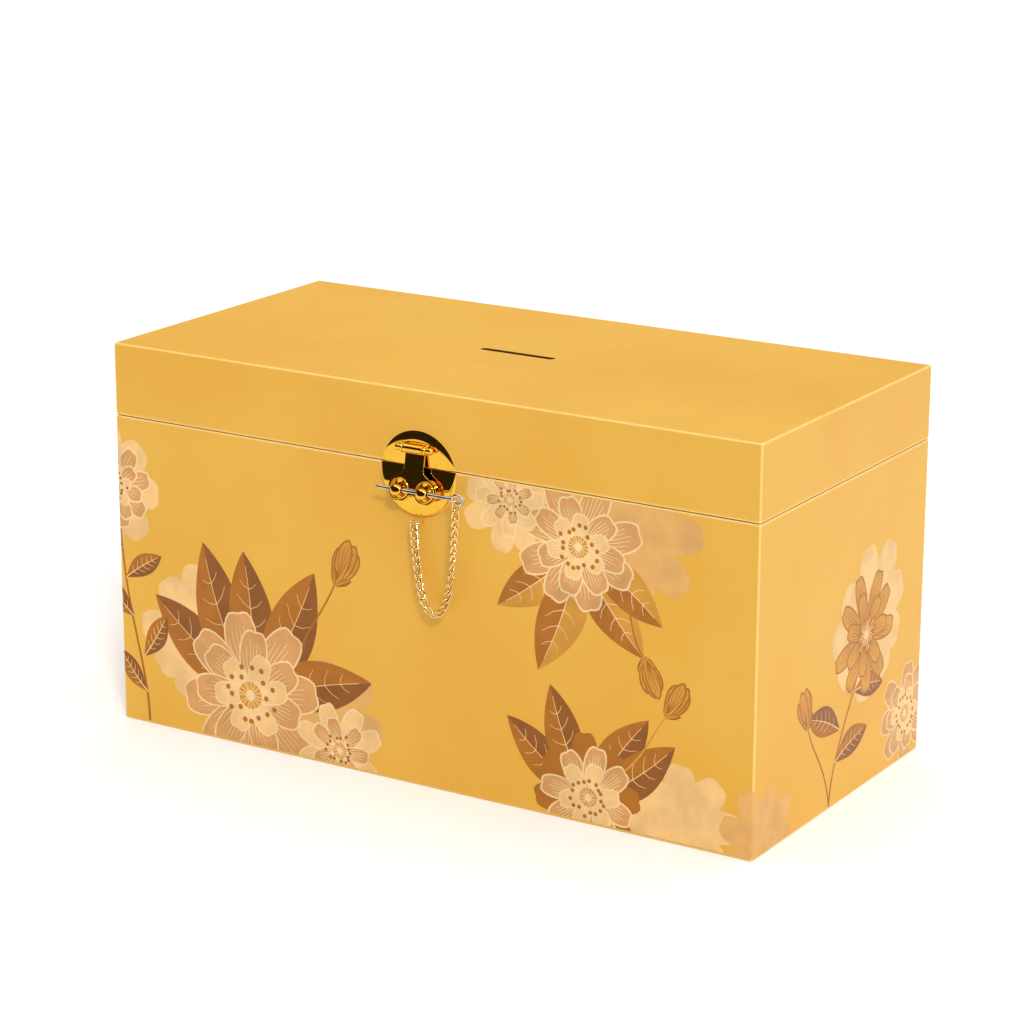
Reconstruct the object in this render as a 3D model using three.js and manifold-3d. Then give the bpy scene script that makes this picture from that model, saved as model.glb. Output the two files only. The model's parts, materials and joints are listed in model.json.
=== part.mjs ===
// Lacquered card box with a hinged lid, a round hasp latch, a split locking pin and its chain.
// Millimetres, +Z up, +Y towards the back. The origin is the middle of the underside.

import * as THREE from 'three';
import { mergeVertices } from 'three/addons/utils/BufferGeometryUtils.js';
import Module from 'manifold-3d';

const wasm = await Module();
wasm.setup();

// Box
const boxWidth = 430;
const boxDepth = 209;
const boxHeight = 234;
const lidHeight = 43.4;
const seamGap = 0.6;
const wallThickness = 9;
const lidPanelThickness = 9;
const floorThickness = 6;
const edgeRadius = 1.2;

// Card slot
const slotLength = 50;
const slotWidth = 5;

// Rear hinges
const hingeInset = 75;
const leafLength = 30;
const leafReach = 7;
const leafThickness = 1.2;
const leafGap = 0.3;
const hingeBarrelRadius = 2.4;
const hingeBarrelGap = 0.3;
const hingePinRadius = 1.2;
const hingePinOverhang = 0.8;
const knuckleCount = 5;
const knuckleGap = 0.3;
const stopReach = 6.2;
const lidOpening = THREE.MathUtils.degToRad(95);
const mortiseClearance = 0.2;

// Hinge screws
const screwSpread = 18;
const screwHeadRadius = 2;
const screwHeadDepth = 0.9;
const screwShankRadius = 1;
const screwLength = 9;
const screwPoint = 2;
const screwClearance = 0.25;

// Latch plate
const plateRadius = 25;
const plateThickness = 1.2;
const plateBevel = 0.7;
const plateRim = 1.6;
const plateGap = 0.8;
const plateCentreDrop = 4.7;

// Hasp flap and its rod
const flapAxisRise = 10.8;
const flapBarrelRadius = 2.7;
const flapBarrelLength = 12.8;
const flapThickness = 1.5;
const flapLift = 0.35;
const flapLean = THREE.MathUtils.degToRad(10);
const flapNeckLength = 11.5;
const lobeRim = 2.1;
const lobeRoom = 1.2;
const shoulderPull = 4;
const lobeNotch = 1.4;
const lobeAngleStart = THREE.MathUtils.degToRad(35);
const lobeAngleEnd = THREE.MathUtils.degToRad(-148);
const rodRadius = 0.9;
const rodBallRadius = 2.1;

// Hasp knobs, bored for the pin
const knobSpread = 17;
const knobDrop = 12.5;
const knobReach = 8.4;
const knobHeadLength = 8.2;
const knobHeadDiameter = 6.6;
const knobBoreRoom = 0.6;
const knobNeckRadius = 2.4;
const knobFootRadius = 6;
const knobFootBevel = 0.6;
const knobShankRadius = 1.6;
const knobRivetRadius = 3;
const knobRivetHeight = 1.4;

// Wire staples
const rodStapleWire = 1.6;
const chainStapleWire = 1;
const chainStapleSpacing = 6.4;
const chainStapleRoom = 1.9;
const chainStapleDrop = 2.2;
const stapleTail = 5;
const runClearance = 0.3;
const legClearance = 0.25;

// Locking pin
const pinRadius = 1.1;
const pinTipReach = 22.5;
const pinEyeReach = 32.2;
const pinEyeLength = 6.8;
const pinEyeHeight = 5;
const pinEyeWire = 1.8;
const pinHookOffset = 1.2;
const pinSlit = 0.3;
const pinPoint = 3;
const pinPointRadius = 0.4;

// Chain
const linkCount = 26;
const linkPitch = 5;
const linkWire = 1.1;
const linkWidth = 4.7;
const linkGap = 0.6;
const linkTwist = THREE.MathUtils.degToRad(45);
const endTurnShare = 0.16;
const bottomTurnShares = [0.5, 0.8];

// Facets and working allowances
const arcFacets = 3;
const plateFacets = 56;
const roundFacets = 12;
const ballFacets = 6;
const headFacets = 16;
const eyeSteps = 24;
const eyeFacets = 8;
const wireFacets = 4;
const stapleSteps = 34;
const linkSteps = 16;
const linkFacets = 6;
const halvings = 60;
const overrun = 2;
const weld = 1e-4;

// Places that follow from the sizes
const lidBottom = boxHeight - lidHeight;
const bodyHeight = lidBottom - seamGap;
const seamHeight = lidBottom - seamGap / 2;
const hingeSpread = boxWidth - 2 * hingeInset;
const frontFace = -boxDepth / 2;
const backFace = boxDepth / 2;
const plateCentre = seamHeight - plateCentreDrop;
const plateFront = frontFace - plateThickness;
const flapAxisY = plateFront - flapLift - flapBarrelRadius;
const flapAxisZ = seamHeight + flapAxisRise;
const knobZ = seamHeight - knobDrop;
const pinAxisY = plateFront - knobReach;
const lobeHoleRadius = knobHeadLength / 2 + lobeRoom;
const lobeRadius = lobeHoleRadius + lobeRim;
const pinHookDrop = pinEyeHeight / 2 * Math.sqrt(1 - (2 * pinHookOffset / pinEyeLength) ** 2);
const chainStapleReach = chainStapleWire + linkWire + 2 * chainStapleRoom;
const hingeAxisY = backFace + hingeBarrelGap + hingeBarrelRadius;
const chainStapleZ = plateCentre - plateRadius - chainStapleDrop;

// Materials
const lacquer = () => new THREE.MeshStandardMaterial({ color: 0xe2a83c, roughness: 0.42, metalness: 0 });
const innerLacquer = () => new THREE.MeshStandardMaterial({ color: 0xd79c38, roughness: 0.6, metalness: 0 });
const polishedBrass = () => new THREE.MeshStandardMaterial({ color: 0xd9a032, roughness: 0.12, metalness: 1 });
const hingeBrass = () => new THREE.MeshStandardMaterial({ color: 0xc89a45, roughness: 0.3, metalness: 1 });
const pinSteel = () => new THREE.MeshStandardMaterial({ color: 0xb9b6ad, roughness: 0.22, metalness: 1 });
const chainBrass = () => new THREE.MeshStandardMaterial({ color: 0xe6c98a, roughness: 0.2, metalness: 1 });

// Closed solids, joined and cut
function toSolid(geometry) {
  const bare = geometry.clone();
  bare.deleteAttribute('normal');
  bare.deleteAttribute('uv');
  const merged = mergeVertices(bare, weld);
  const vertProperties = new Float32Array(merged.attributes.position.array);
  const triVerts = new Uint32Array(merged.index.array);
  return new wasm.Manifold(new wasm.Mesh({ numProp: 3, vertProperties, triVerts }));
}

function toGeometry(solid) {
  const mesh = solid.getMesh();
  const geometry = new THREE.BufferGeometry();
  geometry.setAttribute('position', new THREE.BufferAttribute(new Float32Array(mesh.vertProperties), 3));
  geometry.setIndex(new THREE.BufferAttribute(new Uint32Array(mesh.triVerts), 1));
  geometry.computeVertexNormals();
  return geometry;
}

function join(first, ...others) {
  return toGeometry(others.reduce((solid, other) => solid.add(toSolid(other)), toSolid(first)));
}

function cut(first, ...tools) {
  return toGeometry(tools.reduce((solid, tool) => solid.subtract(toSolid(tool)), toSolid(first)));
}

function common(first, ...others) {
  return toGeometry(others.reduce((solid, other) => solid.intersect(toSolid(other)), toSolid(first)));
}

// Basic forms
function block(low, high) {
  const geometry = new THREE.BoxGeometry(high[0] - low[0], high[1] - low[1], high[2] - low[2]);
  return geometry.translate((low[0] + high[0]) / 2, (low[1] + high[1]) / 2, (low[2] + high[2]) / 2);
}

function upright(shape, bottom, height) {
  const geometry = new THREE.ExtrudeGeometry(shape, {
    depth: height,
    bevelEnabled: false,
    curveSegments: arcFacets,
  });
  return geometry.translate(0, 0, bottom);
}

function drill(radius, low, high, x, z) {
  const geometry = new THREE.CylinderGeometry(radius, radius, high - low, roundFacets);
  return geometry.translate(x, (low + high) / 2, z);
}

function turned(points, facets) {
  return new THREE.LatheGeometry(points.map(([r, y]) => new THREE.Vector2(r, y)), facets);
}

function stadium(length, width) {
  const shape = new THREE.Shape();
  const reach = (length - width) / 2;
  shape.absarc(reach, 0, width / 2, -Math.PI / 2, Math.PI / 2, false);
  shape.absarc(-reach, 0, width / 2, Math.PI / 2, 3 * Math.PI / 2, false);
  return shape;
}

function ring(outer, inner, x, length, facets) {
  const shape = new THREE.Shape();
  shape.absarc(0, 0, outer, 0, 2 * Math.PI, false);
  const bore = new THREE.Path();
  bore.absarc(0, 0, inner, 0, 2 * Math.PI, true);
  shape.holes.push(bore);
  const geometry = new THREE.ExtrudeGeometry(shape, {
    depth: length,
    bevelEnabled: false,
    curveSegments: facets / 2,
  });
  return geometry.rotateX(Math.PI / 2).rotateZ(Math.PI / 2).translate(x, 0, 0);
}

// Box walls, mitred at the corners
function wallShape(facing) {
  const mitre = Math.PI / 4;
  const shape = new THREE.Shape();
  const inner = [];
  for (const turn of [-mitre, mitre]) {
    const sideX = Math.sign(Math.cos(facing + turn));
    const sideY = Math.sign(Math.sin(facing + turn));
    const x = sideX * (boxWidth / 2 - edgeRadius);
    const y = sideY * (boxDepth / 2 - edgeRadius);
    const start = turn < 0 ? facing - mitre : facing;
    shape.absarc(x, y, edgeRadius, start, start + mitre, false);
    inner.push([sideX * (boxWidth / 2 - wallThickness), sideY * (boxDepth / 2 - wallThickness)]);
  }
  shape.lineTo(...inner[1]);
  shape.lineTo(...inner[0]);
  shape.closePath();
  return shape;
}

const facings = { front: -Math.PI / 2, right: 0, back: Math.PI / 2, left: Math.PI };

function bodyWall(side) {
  return upright(wallShape(facings[side]), 0, bodyHeight);
}

function lidRail(side) {
  return upright(wallShape(facings[side]), lidBottom, boxHeight - lidPanelThickness - lidBottom);
}

function floorPanel() {
  const x = boxWidth / 2 - wallThickness;
  const y = boxDepth / 2 - wallThickness;
  return block([-x, -y, 0], [x, y, floorThickness]);
}

// Lid panel: square below, with a rounded top edge all round and the card slot
function crownedShape(width) {
  const side = width / 2;
  const bottom = boxHeight - lidPanelThickness;
  const shape = new THREE.Shape();
  shape.moveTo(-side, bottom);
  shape.lineTo(side, bottom);
  shape.absarc(side - edgeRadius, boxHeight - edgeRadius, edgeRadius, 0, Math.PI / 2, false);
  shape.absarc(-side + edgeRadius, boxHeight - edgeRadius, edgeRadius, Math.PI / 2, Math.PI, false);
  shape.closePath();
  return shape;
}

function planShape() {
  const x = boxWidth / 2 - edgeRadius;
  const y = boxDepth / 2 - edgeRadius;
  const shape = new THREE.Shape();
  shape.absarc(x, -y, edgeRadius, -Math.PI / 2, 0, false);
  shape.absarc(x, y, edgeRadius, 0, Math.PI / 2, false);
  shape.absarc(-x, y, edgeRadius, Math.PI / 2, Math.PI, false);
  shape.absarc(-x, -y, edgeRadius, Math.PI, 3 * Math.PI / 2, false);
  shape.closePath();
  return shape;
}

function lidTop() {
  const bottom = boxHeight - lidPanelThickness;
  const plan = upright(planShape(), bottom, lidPanelThickness);
  const alongY = upright(crownedShape(boxWidth), -boxDepth / 2 - overrun, boxDepth + 2 * overrun);
  alongY.rotateX(Math.PI / 2);
  const alongX = upright(crownedShape(boxDepth), -boxWidth / 2 - overrun, boxWidth + 2 * overrun);
  alongX.rotateX(Math.PI / 2).rotateZ(Math.PI / 2);
  const slot = upright(stadium(slotLength, slotWidth), bottom - overrun, lidPanelThickness + 2 * overrun);
  return cut(common(plan, alongY, alongX), slot);
}

// Hinge screw: countersunk head, shank and point, along -Z from its head's top face at zero.
// A screw hole is the same form grown by a clearance, with its mouth raised.
function screwForm(grow, headTop) {
  const shank = screwShankRadius + grow;
  const head = screwHeadRadius + grow;
  const profile = [
    [0, -screwLength - grow],
    [shank, -screwLength + screwPoint],
    [shank, -screwHeadDepth],
    [head, 0],
  ];
  if (headTop > 0) {
    profile.push([head, headTop]);
  }
  profile.push([0, headTop]);
  return turned(profile, roundFacets).rotateX(Math.PI / 2);
}

// Each leaf's way up: the body's leaf lies below the seam and the lid's above it
const leafUp = { body: -1, lid: 1 };
const hingeSides = { left: -1, right: 1 };
const screwSides = { outer: 1, inner: -1 };

function screwPlace(side, end, up) {
  const x = side * (hingeSpread + end * screwSpread) / 2;
  return [x, backFace - leafReach / 2, seamHeight + up * leafGap / 2];
}

function screwHole(place, up) {
  const tool = screwForm(screwClearance, overrun);
  if (up > 0) {
    tool.rotateX(Math.PI);
  }
  return tool.translate(...place);
}

function hingeCuts(wallOf) {
  const up = leafUp[wallOf];
  const tools = [];
  for (const side of Object.values(hingeSides)) {
    const x = side * hingeSpread / 2;
    const half = leafLength / 2 + mortiseClearance;
    const floor = seamHeight + up * (leafGap / 2 + leafThickness + mortiseClearance);
    const inside = backFace - leafReach - mortiseClearance;
    const low = [x - half, inside, Math.min(floor, seamHeight)];
    const high = [x + half, backFace + overrun, Math.max(floor, seamHeight)];
    tools.push(block(low, high));
    for (const end of Object.values(screwSides)) {
      tools.push(screwHole(screwPlace(side, end, up), up));
    }
  }
  return tools;
}

// Hinge leaf with its knuckles and stop flange, about its own pin axis
function hingeLeaf(wallOf) {
  const up = leafUp[wallOf];
  const bore = hingePinRadius + runClearance;
  const standoff = hingeAxisY - backFace;
  const near = up * leafGap / 2;
  const far = up * (leafGap / 2 + leafThickness);
  const zLow = Math.min(near, far);
  const zHigh = Math.max(near, far);
  const ringMiddle = (hingeBarrelRadius + bore) / 2;
  const pitch = leafLength / knuckleCount;
  const stopStart = hingeBarrelRadius + runClearance;
  const plateLow = [-leafLength / 2, -standoff - leafReach, zLow];
  let leaf = toSolid(block(plateLow, [leafLength / 2, -standoff, zHigh]));
  const flangeLow = [-leafLength / 2, stopStart, zLow];
  const flange = block(flangeLow, [leafLength / 2, stopReach, zHigh]).rotateX(up * lidOpening / 2);
  leaf = leaf.add(toSolid(flange));
  for (let k = 0; k < knuckleCount; k += 1) {
    const isBody = k % 2 === 0;
    if (isBody === (up < 0)) {
      const start = -leafLength / 2 + k * pitch + (k > 0 ? knuckleGap / 2 : 0);
      const end = -leafLength / 2 + (k + 1) * pitch - (k < knuckleCount - 1 ? knuckleGap / 2 : 0);
      const tab = block([start, -standoff - leafThickness, zLow], [end, -ringMiddle, zHigh]);
      const web = block([start, ringMiddle, zLow], [end, stopStart + leafThickness, zHigh]);
      leaf = leaf.add(toSolid(ring(hingeBarrelRadius, bore, start, end - start, roundFacets)));
      leaf = leaf.add(toSolid(tab));
      leaf = leaf.add(toSolid(web.rotateX(up * lidOpening / 2)));
    }
  }
  for (const end of [-1, 1]) {
    const place = [end * screwSpread / 2, -standoff - leafReach / 2, near];
    leaf = leaf.subtract(toSolid(screwHole(place, up)));
  }
  return toGeometry(leaf);
}

function hingePin() {
  const half = leafLength / 2;
  const profile = [
    [0, -half - hingePinOverhang],
    [hingePinRadius, -half - hingePinOverhang / 2],
    [hingePinRadius, half + hingePinOverhang / 2],
    [0, half + hingePinOverhang],
  ];
  return turned(profile, roundFacets).rotateZ(-Math.PI / 2);
}

// Latch plate: a bevelled disc, cut in two along the seam
function plateDisc() {
  const profile = [
    [0, -plateThickness],
    [plateRadius - plateRim, -plateThickness],
    [plateRadius, -plateThickness + plateBevel],
    [plateRadius, 0],
    [0, 0],
  ];
  return turned(profile, plateFacets).translate(0, frontFace, plateCentre);
}

function plateHalf(up) {
  const split = seamHeight + up * plateGap / 2;
  const reach = plateRadius + overrun;
  const end = plateCentre + up * reach;
  const low = [-reach, plateFront - overrun, Math.min(split, end)];
  const high = [reach, frontFace + overrun, Math.max(split, end)];
  return common(plateDisc(), block(low, high));
}

// How far down the leaning flap a place lies, from its height and its distance behind the flap's axis
function downFlap(height, setBack) {
  return (flapAxisZ - height - setBack * Math.sin(flapLean)) / Math.cos(flapLean);
}

// Hasp flap about its hinge axis: rolled barrel, neck, S-shaped shoulders and two lobes
function flapShape() {
  const neck = flapBarrelLength / 2;
  const lobeX = knobSpread / 2;
  const lobeZ = -downFlap(knobZ, flapBarrelRadius - flapThickness / 2);
  const startX = lobeX + lobeRadius * Math.cos(lobeAngleStart);
  const startZ = lobeZ + lobeRadius * Math.sin(lobeAngleStart);
  const endX = lobeX + lobeRadius * Math.cos(lobeAngleEnd);
  const endZ = lobeZ + lobeRadius * Math.sin(lobeAngleEnd);
  const pullX = startX - shoulderPull * Math.sin(lobeAngleStart);
  const pullZ = startZ + shoulderPull * Math.cos(lobeAngleStart);
  const shape = new THREE.Shape();
  shape.moveTo(neck, 0);
  shape.lineTo(-neck, 0);
  shape.lineTo(-neck, -flapNeckLength);
  shape.bezierCurveTo(-neck, -flapNeckLength - shoulderPull, -pullX, pullZ, -startX, startZ);
  shape.absarc(-lobeX, lobeZ, lobeRadius, Math.PI - lobeAngleStart, Math.PI - lobeAngleEnd, false);
  shape.quadraticCurveTo(0, endZ + lobeNotch, endX, endZ);
  shape.absarc(lobeX, lobeZ, lobeRadius, lobeAngleEnd, lobeAngleStart, false);
  shape.bezierCurveTo(pullX, pullZ, neck, -flapNeckLength - shoulderPull, neck, -flapNeckLength);
  shape.closePath();
  for (const side of [-1, 1]) {
    const hole = new THREE.Path();
    hole.absarc(side * lobeX, lobeZ, lobeHoleRadius, 2 * Math.PI, 0, true);
    shape.holes.push(hole);
  }
  return shape;
}

function haspFlap() {
  const sheet = new THREE.ExtrudeGeometry(flapShape(), {
    depth: flapThickness,
    bevelEnabled: false,
    curveSegments: 2 * arcFacets,
  });
  sheet.rotateX(Math.PI / 2).translate(0, flapBarrelRadius, 0);
  const bore = flapBarrelRadius - flapThickness;
  const barrel = ring(flapBarrelRadius, bore, -flapBarrelLength / 2, flapBarrelLength, roundFacets);
  return join(barrel, sheet).rotateX(-flapLean);
}

// Hasp knob: riveted shank, foot that the flap's back rests on, neck, and a rounded head bored for the pin
function haspKnob() {
  const down = downFlap(knobZ + knobFootRadius, flapBarrelRadius);
  const setBack = flapBarrelRadius * Math.cos(flapLean) - down * Math.sin(flapLean);
  const footHeight = plateFront - flapAxisY - setBack - runClearance;
  const inside = plateThickness + wallThickness;
  const profile = [
    [0, -knobReach],
    [knobNeckRadius, -knobReach],
    [knobNeckRadius, -footHeight],
    [knobFootRadius - knobFootBevel, -footHeight],
    [knobFootRadius, -footHeight + knobFootBevel],
    [knobFootRadius, 0],
    [knobShankRadius, 0],
    [knobShankRadius, inside],
    [knobRivetRadius, inside],
    [knobShankRadius, inside + knobRivetHeight],
    [0, inside + knobRivetHeight],
  ];
  const head = new THREE.SphereGeometry(knobHeadDiameter / 2, headFacets, headFacets / 2);
  head.scale(knobHeadLength / knobHeadDiameter, 1, 1).translate(0, -knobReach, 0);
  const bore = turned([
    [0, -knobHeadLength],
    [pinRadius + knobBoreRoom, -knobHeadLength],
    [pinRadius + knobBoreRoom, knobHeadLength],
    [0, knobHeadLength],
  ], roundFacets).rotateZ(-Math.PI / 2).translate(0, -knobReach, 0);
  return cut(join(turned(profile, headFacets), head), bore);
}

// Flap rod with a ball at each end
function flapRod() {
  const inside = flapBarrelLength / 2 + rodStapleWire + 2 * runClearance;
  const ballCentre = inside + rodBallRadius;
  const neckAngle = Math.acos(rodRadius / rodBallRadius);
  const leftEnd = [[0, -ballCentre - rodBallRadius]];
  for (let k = 1; k <= ballFacets; k += 1) {
    const angle = THREE.MathUtils.lerp(-Math.PI / 2, neckAngle, k / ballFacets);
    leftEnd.push([rodBallRadius * Math.cos(angle), rodBallRadius * Math.sin(angle) - ballCentre]);
  }
  const rightEnd = leftEnd.map(([r, y]) => [r, -y]).reverse();
  return turned([...leftEnd, ...rightEnd], roundFacets).rotateZ(-Math.PI / 2);
}

// Wire staples: two legs through the wall, an arch in front and tails bent over inside
class StapleRoute extends THREE.Curve {
  constructor(path) {
    super();
    this.path = path;
  }

  getPoint(t) {
    const point = this.path.getPoint(t);
    return new THREE.Vector3(0, point.x, point.y);
  }
}

function wireSection(wire) {
  const section = new THREE.Shape();
  section.absarc(0, 0, wire / 2, 0, 2 * Math.PI, false);
  return section;
}

function staple(wire, spacing, reach) {
  const half = spacing / 2;
  const bend = wire / 2 + runClearance;
  const inside = wallThickness;
  const archCentre = -(reach - wire / 2 - half);
  const path = new THREE.Path();
  path.moveTo(inside + bend, half + bend + stapleTail);
  path.lineTo(inside + bend, half + bend);
  path.absarc(inside, half + bend, bend, 0, -Math.PI / 2, true);
  path.lineTo(archCentre, half);
  path.absarc(archCentre, 0, half, Math.PI / 2, 3 * Math.PI / 2, false);
  path.lineTo(inside, -half);
  path.absarc(inside, -half - bend, bend, Math.PI / 2, 0, true);
  path.lineTo(inside + bend, -half - bend - stapleTail);
  return new THREE.ExtrudeGeometry(wireSection(wire), {
    steps: stapleSteps,
    extrudePath: new StapleRoute(path),
    curveSegments: wireFacets,
  });
}

function legHoles(wire, spacing, x, z, low, high) {
  const radius = wire / 2 + legClearance;
  return [-1, 1].map((end) => drill(radius, low, high, x, z + end * spacing / 2));
}

// Locking pin: split shank with a point, and an oval eye
class EyeRoute extends THREE.Curve {
  getPoint(t) {
    const angle = 2 * Math.PI * t;
    return new THREE.Vector3(pinEyeLength / 2 * Math.cos(angle), 0, pinEyeHeight / 2 * Math.sin(angle));
  }
}

function lockingPin() {
  const shankEnd = pinEyeReach - pinEyeLength / 2;
  const profile = [
    [0, -pinTipReach],
    [pinPointRadius, -pinTipReach],
    [pinRadius, -pinTipReach + pinPoint],
    [pinRadius, shankEnd],
    [0, shankEnd],
  ];
  const shank = turned(profile, roundFacets).rotateZ(-Math.PI / 2);
  const eye = new THREE.TubeGeometry(new EyeRoute(), eyeSteps, pinEyeWire / 2, eyeFacets, true);
  eye.translate(pinEyeReach, 0, 0);
  const slitLow = [-pinTipReach - overrun, -pinRadius - overrun, -pinSlit / 2];
  const slitHigh = [shankEnd - pinEyeWire, pinRadius + overrun, pinSlit / 2];
  return cut(join(shank, eye), block(slitLow, slitHigh));
}

// Curb link: an oval of wire, its two ends twisted against each other about its length
function linkCentreline(angle, target) {
  const halfLength = (linkPitch + linkWire + linkGap) / 2;
  const halfWidth = (linkWidth - linkWire) / 2;
  const straight = halfLength - halfWidth;
  const along = halfWidth * Math.cos(angle) + Math.sign(Math.cos(angle)) * straight;
  const across = halfWidth * Math.sin(angle);
  const twist = linkTwist * along / halfLength;
  return target.set(along, across * Math.cos(twist), across * Math.sin(twist));
}

function curbLink() {
  const link = new THREE.TorusGeometry(linkWidth, linkWire, linkFacets, linkSteps);
  const position = link.attributes.position;
  const centre = new THREE.Vector3();
  const before = new THREE.Vector3();
  const after = new THREE.Vector3();
  const tangent = new THREE.Vector3();
  const outward = new THREE.Vector3();
  const side = new THREE.Vector3();
  const nudge = Math.PI / linkSteps;
  for (let i = 0; i < position.count; i += 1) {
    const step = i % (linkSteps + 1);
    const facet = Math.floor(i / (linkSteps + 1));
    const angle = 2 * Math.PI * ((step % linkSteps) + 0.5) / linkSteps;
    const around = 2 * Math.PI * (facet % linkFacets) / linkFacets;
    linkCentreline(angle, centre);
    linkCentreline(angle - nudge, before);
    linkCentreline(angle + nudge, after);
    tangent.subVectors(after, before).normalize();
    outward.copy(centre).addScaledVector(tangent, -centre.dot(tangent)).normalize();
    side.crossVectors(tangent, outward);
    centre.addScaledVector(outward, Math.cos(around) * linkWire / 2);
    centre.addScaledVector(side, -Math.sin(around) * linkWire / 2);
    position.setXYZ(i, centre.x, centre.y, centre.z);
  }
  return link;
}

// The chain hangs in a catenary between the staple and the pin's eye.
// sinh(x) / x = stretch gives the half span in catenary units, found by halving an interval.
function catenary(span, rise, length) {
  const stretch = Math.sqrt(length * length - rise * rise) / span;
  let low = 0;
  let high = 1;
  while (Math.sinh(high) / high < stretch) {
    high *= 2;
  }
  for (let k = 0; k < halvings; k += 1) {
    const middle = (low + high) / 2;
    if (Math.sinh(middle) / middle < stretch) {
      low = middle;
    } else {
      high = middle;
    }
  }
  const scale = span / (low + high);
  const lowest = span / 2 - scale * Math.atanh(rise / length);
  const before = scale * Math.sinh(lowest / scale);
  return (distance) => {
    const x = lowest + scale * Math.asinh((distance - before) / scale);
    const drop = Math.cosh((x - lowest) / scale) - Math.cosh(lowest / scale);
    return new THREE.Vector2(x, scale * drop);
  };
}

function chainJoints() {
  const startHook = (chainStapleWire + linkGap) / 2;
  const endHook = (pinEyeWire + linkGap) / 2;
  const archY = frontFace - chainStapleReach + chainStapleWire / 2;
  const start = new THREE.Vector3(0, archY, chainStapleZ + startHook);
  const end = new THREE.Vector3(pinEyeReach - pinHookOffset, pinAxisY, knobZ - pinHookDrop + endHook);
  const curve = catenary(end.x - start.x, end.z - start.z, linkCount * linkPitch);
  const joints = [];
  for (let k = 0; k <= linkCount; k += 1) {
    const point = curve(k * linkPitch);
    const y = THREE.MathUtils.lerp(start.y, end.y, k / linkCount);
    joints.push(new THREE.Vector3(start.x + point.x, y, start.z + point.y));
  }
  return joints;
}

// Roll of each link about the chain: the left strand faces the front and the right one is edge-on
function linkRoll(share) {
  const step = THREE.MathUtils.smoothstep;
  const start = 1 - step(share, 0, endTurnShare);
  const bottom = step(share, ...bottomTurnShares);
  const end = step(share, 1 - endTurnShare, 1);
  return -linkTwist * (start + 2 * bottom + end);
}

function placeLink(mesh, from, to, roll) {
  const along = to.clone().sub(from).normalize();
  const facing = new THREE.Vector3(0, -1, 0);
  facing.addScaledVector(along, -facing.dot(along)).normalize();
  const across = new THREE.Vector3().crossVectors(facing, along);
  mesh.quaternion.setFromRotationMatrix(new THREE.Matrix4().makeBasis(along, across, facing));
  mesh.rotateX(roll);
  mesh.position.copy(from).add(to).multiplyScalar(1 / 2);
}

// Assembly
function piece(parent, name, geometry, material, place = [0, 0, 0]) {
  const mesh = new THREE.Mesh(geometry, material);
  mesh.name = name;
  mesh.position.set(...place);
  parent.add(mesh);
  return mesh;
}

function boxBody() {
  const group = new THREE.Group();
  const knobX = knobSpread / 2;
  const wallRun = [frontFace - overrun, frontFace + wallThickness + overrun];
  const knobHoles = [-1, 1].map((end) => (
    drill(knobShankRadius + legClearance, ...wallRun, end * knobX, knobZ)
  ));
  const eyeRadius = chainStapleWire / 2 + legClearance;
  const eyeHoles = [-1, 1].map((end) => (
    drill(eyeRadius, ...wallRun, end * chainStapleSpacing / 2, chainStapleZ)
  ));
  piece(group, 'body_front', cut(bodyWall('front'), ...knobHoles, ...eyeHoles), lacquer());
  piece(group, 'body_right', bodyWall('right'), lacquer());
  piece(group, 'body_back', cut(bodyWall('back'), ...hingeCuts('body')), lacquer());
  piece(group, 'body_left', bodyWall('left'), lacquer());
  piece(group, 'body_floor', floorPanel(), innerLacquer());
  piece(group, 'lower_plate', cut(plateHalf(-1), ...knobHoles), polishedBrass());
  piece(group, 'hasp_knob_left', haspKnob(), polishedBrass(), [-knobX, plateFront, knobZ]);
  piece(group, 'hasp_knob_right', haspKnob(), polishedBrass(), [knobX, plateFront, knobZ]);
  const chainStaple = staple(chainStapleWire, chainStapleSpacing, chainStapleReach).rotateY(Math.PI / 2);
  piece(group, 'chain_staple', chainStaple, chainBrass(), [0, frontFace, chainStapleZ]);
  return group;
}

function boxLid() {
  const group = new THREE.Group();
  const rodSpacing = 2 * (rodRadius + runClearance) + rodStapleWire;
  const rodReach = frontFace - flapAxisY + (rodSpacing + rodStapleWire) / 2;
  const rodX = flapBarrelLength / 2 + runClearance + rodStapleWire / 2;
  const wallRun = [frontFace - overrun, frontFace + wallThickness + overrun];
  const rodHoles = [-rodX, rodX].flatMap((x) => (
    legHoles(rodStapleWire, rodSpacing, x, flapAxisZ, ...wallRun)
  ));
  piece(group, 'lid_top', lidTop(), lacquer());
  piece(group, 'lid_front_rail', cut(lidRail('front'), ...rodHoles), lacquer());
  piece(group, 'lid_right_rail', lidRail('right'), lacquer());
  piece(group, 'lid_back_rail', cut(lidRail('back'), ...hingeCuts('lid')), lacquer());
  piece(group, 'lid_left_rail', lidRail('left'), lacquer());
  piece(group, 'upper_plate', cut(plateHalf(1), ...rodHoles), polishedBrass());
  const rodStaple = staple(rodStapleWire, rodSpacing, rodReach);
  piece(group, 'rod_staple_left', rodStaple, polishedBrass(), [-rodX, frontFace, flapAxisZ]);
  piece(group, 'rod_staple_right', rodStaple.clone(), polishedBrass(), [rodX, frontFace, flapAxisZ]);
  piece(group, 'flap_rod', flapRod(), polishedBrass(), [0, flapAxisY, flapAxisZ]);
  piece(group, 'hasp_flap', haspFlap(), polishedBrass(), [0, flapAxisY, flapAxisZ]);
  return group;
}

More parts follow.
